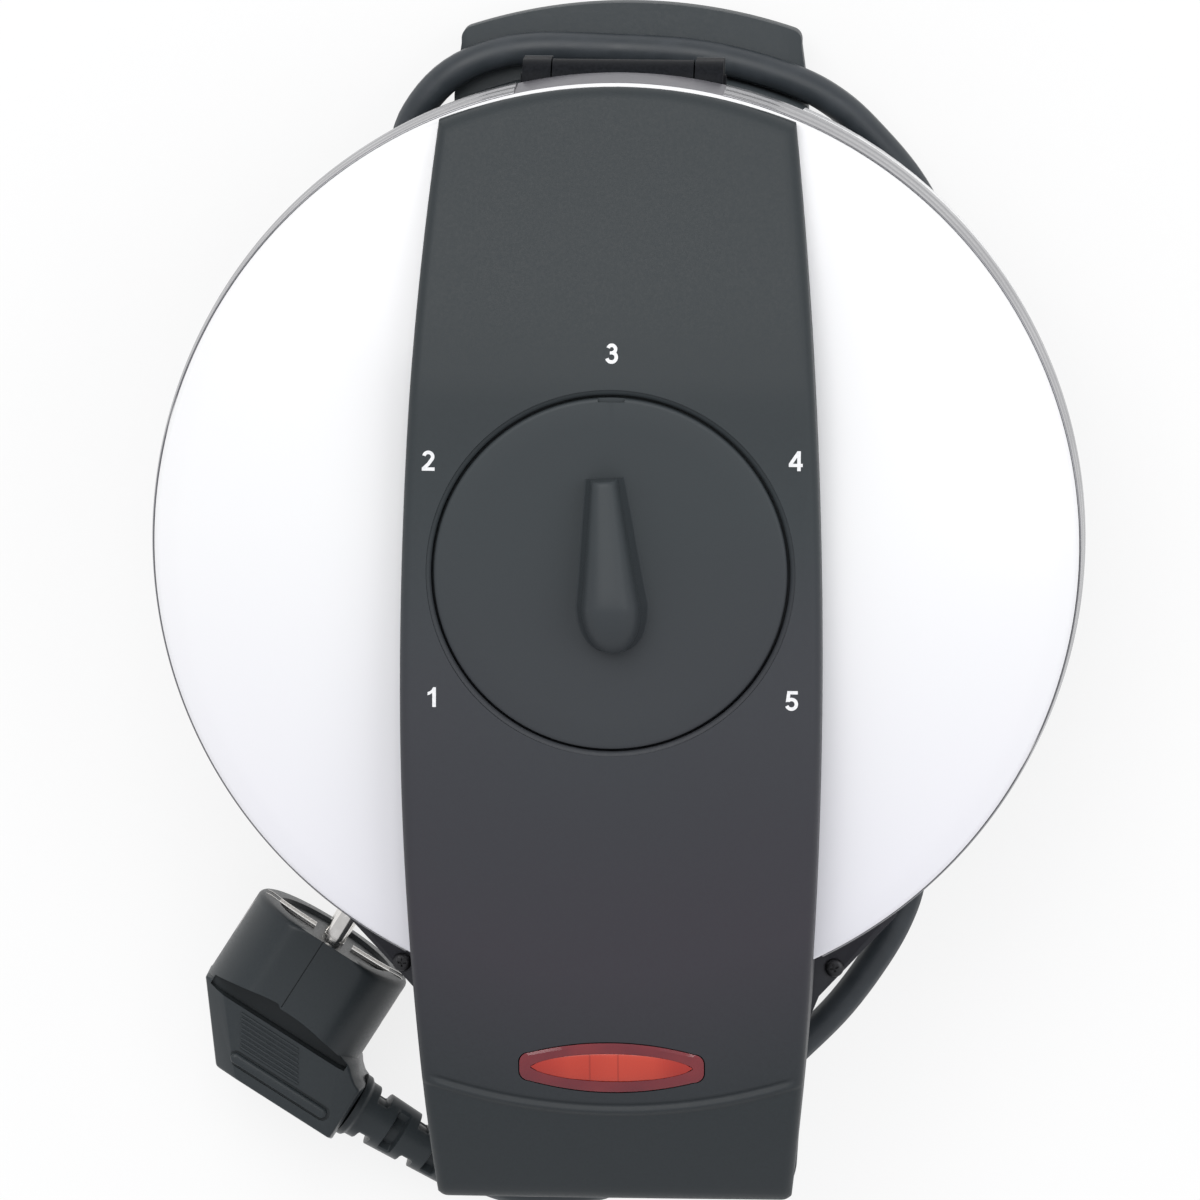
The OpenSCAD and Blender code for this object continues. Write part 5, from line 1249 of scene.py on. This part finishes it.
def repeated(name, shape, places, flip, finish, seed):
    piece = grown(name, repeatTree, {"Geometry Of": shape, "Flip": math.pi if flip else 0.0, "Seed": seed, "Finish": finish}, places)
    bpy.data.objects.remove(shape)
    return piece


def makeScrews():
    for seed, (nodeName, (name, body, slotName)) in enumerate(screwGroups.items()):
        kinds = {}
        for solid in solidsOf(nodeName):
            size = screwSizes(solid)
            kinds.setdefault((size["up"], round(size["head"], 1), round(size["length"], 1)), []).append(size)
        groups = []
        for (up, head, length), sizes in kinds.items():
            # the lower handle's upward screw heads get a dark steel finish, darker than the other screws
            dark = nodeName == "lower_handle_screws" and up
            finish = finishes["dark_screw"] if dark else finishes["screw_steel"]
            groups.append(repeated(name, makeScrew(sizes[0]), [size["at"] for size in sizes], not up, finish, seed))
        if len(groups) > 1:
            groups[0].name = name + "Lower"
        for k, group in enumerate(groups):
            group.name = name if k == 0 else f"{name}Short"
            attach(group, body)
            if k == 0:
                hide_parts(nodeName)


makeScrews()
print("krumkake iron: screws made")

# Rubber feet: a ringed pad with a plug through the floor
foot = {"rings": (2.6, 4.6), "ringDepth": 0.5}


def makeFeet():
    solids = solidsOf("rubber_feet")
    centres = []
    for solid in solids:
        low, high = min(p.z for p in solid), max(p.z for p in solid)
        centres.append(((min(p.x for p in solid) + max(p.x for p in solid)) / 2, (min(p.y for p in solid) + max(p.y for p in solid)) / 2, 0))
    wide = (max(p.x for p in solids[0]) - min(p.x for p in solids[0])) * 500
    top = high * 1000
    shoulder = max(p.z for p in solids[0] if math.hypot(p.x - centres[0][0], p.y - centres[0][1]) * 1000 > wide - 0.3) * 1000
    profile = [(0.01, 0.35)]
    for ring in foot["rings"]:
        profile += [(ring - 0.5, 0.35), (ring - 0.35, 0), (ring + 0.35, 0), (ring + 0.5, 0.35)]
    profile += [(wide - 1.6, 0.35), (wide - 1.45, 0), (wide - 1.0, 0), (wide - 0.5, 0.25), (wide - 0.1, 1.0), (wide, 1.6)]
    profile += [(wide, shoulder - 0.5), (wide - 0.15, shoulder - 0.15), (wide - 0.5, shoulder)]
    peg = wide / 2 - 0.1
    profile += [(peg, shoulder), (peg, top - 0.6), (peg - 0.5, top), (0.01, top)]
    rings = [[(r * math.cos(math.tau * a / 64), r * math.sin(math.tau * a / 64), z) for a in range(64)] for r, z in profile]
    shape = loft("foot", rings, lay=lambda x, y, z: (x, y - bakingAxisY, z))
    piece = repeated("feetPads", shape, centres, False, finishes["black_rubber"], 7)
    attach(piece, "base")
    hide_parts("rubber_feet")


makeFeet()
print("krumkake iron: feet made")

# Moulded and pressed parts whose edges only need softening
softEdges = {
    "base_pan": ("footPan", 0.6), "lower_handle": ("gripLower", 0.9), "lower_handle_cover": ("gripLowerCover", 0.5),
    "handle_under_cover": ("gripUnderCover", 0.5), "lower_shell": ("lowerBowl", 0.6),
}


def softened(nodeName, name, width, body, part=None, material=None, replace=True):
    slotName = next(p["material_slot"] for p in frame["record"]["subparts"] if p["node"] == nodeName)
    mesh = bpy.data.meshes.new(name)
    work = bmesh.new()
    work.from_mesh(frame["nodes"][nodeName].data)
    bmesh.ops.remove_doubles(work, verts=work.verts, dist=1e-6)
    bmesh.ops.dissolve_limit(work, angle_limit=math.radians(0.5), verts=work.verts, edges=work.edges)
    work.to_mesh(mesh)
    work.free()
    obj = bpy.data.objects.new(name, mesh)
    bpy.context.collection.objects.link(obj)
    if part:
        cutter, operation = part
        cutAway(obj, cutter, operation=operation)
    bevelled(obj, width, 2, 40)
    return dress(obj, slotName, body, *([nodeName] if replace else []), material=material)


for nodeName, (name, width) in softEdges.items():
    softened(nodeName, name, width, "lid" if nodeName == "handle_under_cover" else "base")

hingeEars = {"half": 22.4, "front": 89, "back": 102.5, "foot": 40.75}


def earBox():
    return boxCutter((-hingeEars["half"], hingeEars["front"], hingeEars["foot"]), (hingeEars["half"], hingeEars["back"], 60))


softened("hinge_block", "hingeBlock", 0.8, "base", (earBox(), "DIFFERENCE"))
# painted shade: the ears cut from the block, and the hinge pin, take the near-black finish for the shade in the hinge
# gap
softened("hinge_block", "hingeEars", 0.6, "base", (earBox(), "INTERSECT"), finishes["black_lacquer"], False)
frame["nodes"]["hinge_pin"].data.materials[0] = finishes["black_lacquer"]
print("krumkake iron: moulded parts softened")

# Tapered relief where the lead leaves the foot
gland = {"x": 76, "z": 12, "back": 20.8, "collar": 13.6, "tip": -10.8, "bodyRadius": 5.6, "collarRadius": 6.1, "rootRadius": 5.4,
         "tipRadius": 4.5, "slots": 5, "slotWidth": 1.9, "slotDepth": 1.2}


def makeGland():
    rings = []
    length = gland["collar"] - gland["tip"]
    stations = [gland["back"], gland["collar"] + 0.3, gland["collar"] + 0.2]
    stations += [gland["collar"] - length * k / 90 for k in range(91)]
    for y in stations:
        s = gland["collar"] - y
        if s < -0.25:
            r0 = gland["bodyRadius"]
        else:
            share = max(0, s) / length
            r0 = gland["rootRadius"] + (gland["tipRadius"] - gland["rootRadius"]) * share
            r0 += (gland["collarRadius"] - gland["rootRadius"]) * (1 - smoothStep((s - 1.6) / 0.6))
            r0 -= 0.4 * smoothStep((s - length + 0.6) / 0.6)
        ring = []
        for k in range(56):
            a = math.tau * k / 56
            r = r0
            for n in range(gland["slots"]):
                at = 4.2 + n * 4.2
                near = abs(math.cos(a)) if n % 2 else abs(math.sin(a))
                r -= gland["slotDepth"] * smoothStep((gland["slotWidth"] / 2 + 0.2 - abs(s - at)) / 0.4) * smoothStep((near - 0.5) / 0.15)
            ring.append((gland["x"] + max(r, 3.6) * math.cos(a), y, gland["z"] + max(r, 3.6) * math.sin(a)))
        rings.append(ring)
    return loft("leadRelief", rings, sharpAngle=50)


dress(makeGland(), "cord_sheath", "base", "cord_gland", material=finishes["plug_plastic"])
print("krumkake iron: lead relief made")

# Floor, backdrop and soft studio light
studio = {"floorColour": 0.95, "floorWhite": 0.82, "world": 0.66, "sky": (0.97, 0.975, 1.0),
          "lights": {"keyLight": ((-0.45, 1.5, 2.5), 2.0, 38, (1, 0.995, 0.98)),
                     "fillLight": ((1.5, 0.5, 1.9), 1.4, 10, (0.98, 0.99, 1))}}


def makeStudio():
    floor = loft("floor", [[(-3000, -3000, -0.02), (3000, -3000, -0.02)], [(-3000, 3000, -0.02), (3000, 3000, -0.02)]],
                 closed=False, capped=False)
    paper = Finish("floor paper", (studio["floorColour"],) * 3, Roughness=0.9, Specular_IOR_Level=0.0)
    output = paper.tree.nodes["Material Output"]
    rays = paper.tree.nodes.new("ShaderNodeLightPath")
    glow = paper.tree.nodes.new("ShaderNodeEmission")
    both = paper.tree.nodes.new("ShaderNodeMixShader")
    seen = Value(paper, rays.outputs["Is Camera Ray"]) + Value(paper, rays.outputs["Is Glossy Ray"])
    seen = seen + Value(paper, rays.outputs["Is Transmission Ray"])
    paper.feed(both.inputs[0], seen * studio["floorWhite"])
    paper.tree.links.new(paper.shader.outputs[0], both.inputs[1])
    paper.tree.links.new(glow.outputs[0], both.inputs[2])
    paper.tree.links.new(both.outputs[0], output.inputs["Surface"])
    floor.data.materials.append(paper.material)
    world = bpy.data.worlds.new("studio")
    bpy.context.scene.world = world
    world.use_nodes = True
    sky, tree = world.node_tree.nodes["Background"], world.node_tree
    sky.inputs["Color"].default_value = (*studio["sky"], 1)
    sky.inputs["Strength"].default_value = studio["world"]
    plain = tree.nodes.new("ShaderNodeBackground")
    plain.inputs["Color"].default_value = (1, 1, 1, 1)
    seen = tree.nodes.new("ShaderNodeLightPath")
    either = tree.nodes.new("ShaderNodeMixShader")
    tree.links.new(seen.outputs["Is Camera Ray"], either.inputs[0])
    tree.links.new(sky.outputs[0], either.inputs[1])
    tree.links.new(plain.outputs[0], either.inputs[2])
    tree.links.new(either.outputs[0], tree.nodes["World Output"].inputs["Surface"])
    for name, (at, size, power, colour) in studio["lights"].items():
        light = bpy.data.lights.new(name, "AREA")
        light.energy = power
        light.size = size
        light.color = colour
        lamp = bpy.data.objects.new(name, light)
        bpy.context.collection.objects.link(lamp)
        lamp.location = at
        lamp.visible_camera = False
        lamp.rotation_mode = "QUATERNION"
        lamp.rotation_quaternion = (Vector(at) - Vector((0, 0, 0.05))).to_track_quat("Z", "Y")
    bpy.context.scene.view_settings.view_transform = "Standard"


makeStudio()
print("krumkake iron: studio made")

tuple(place(76, 13, 12))
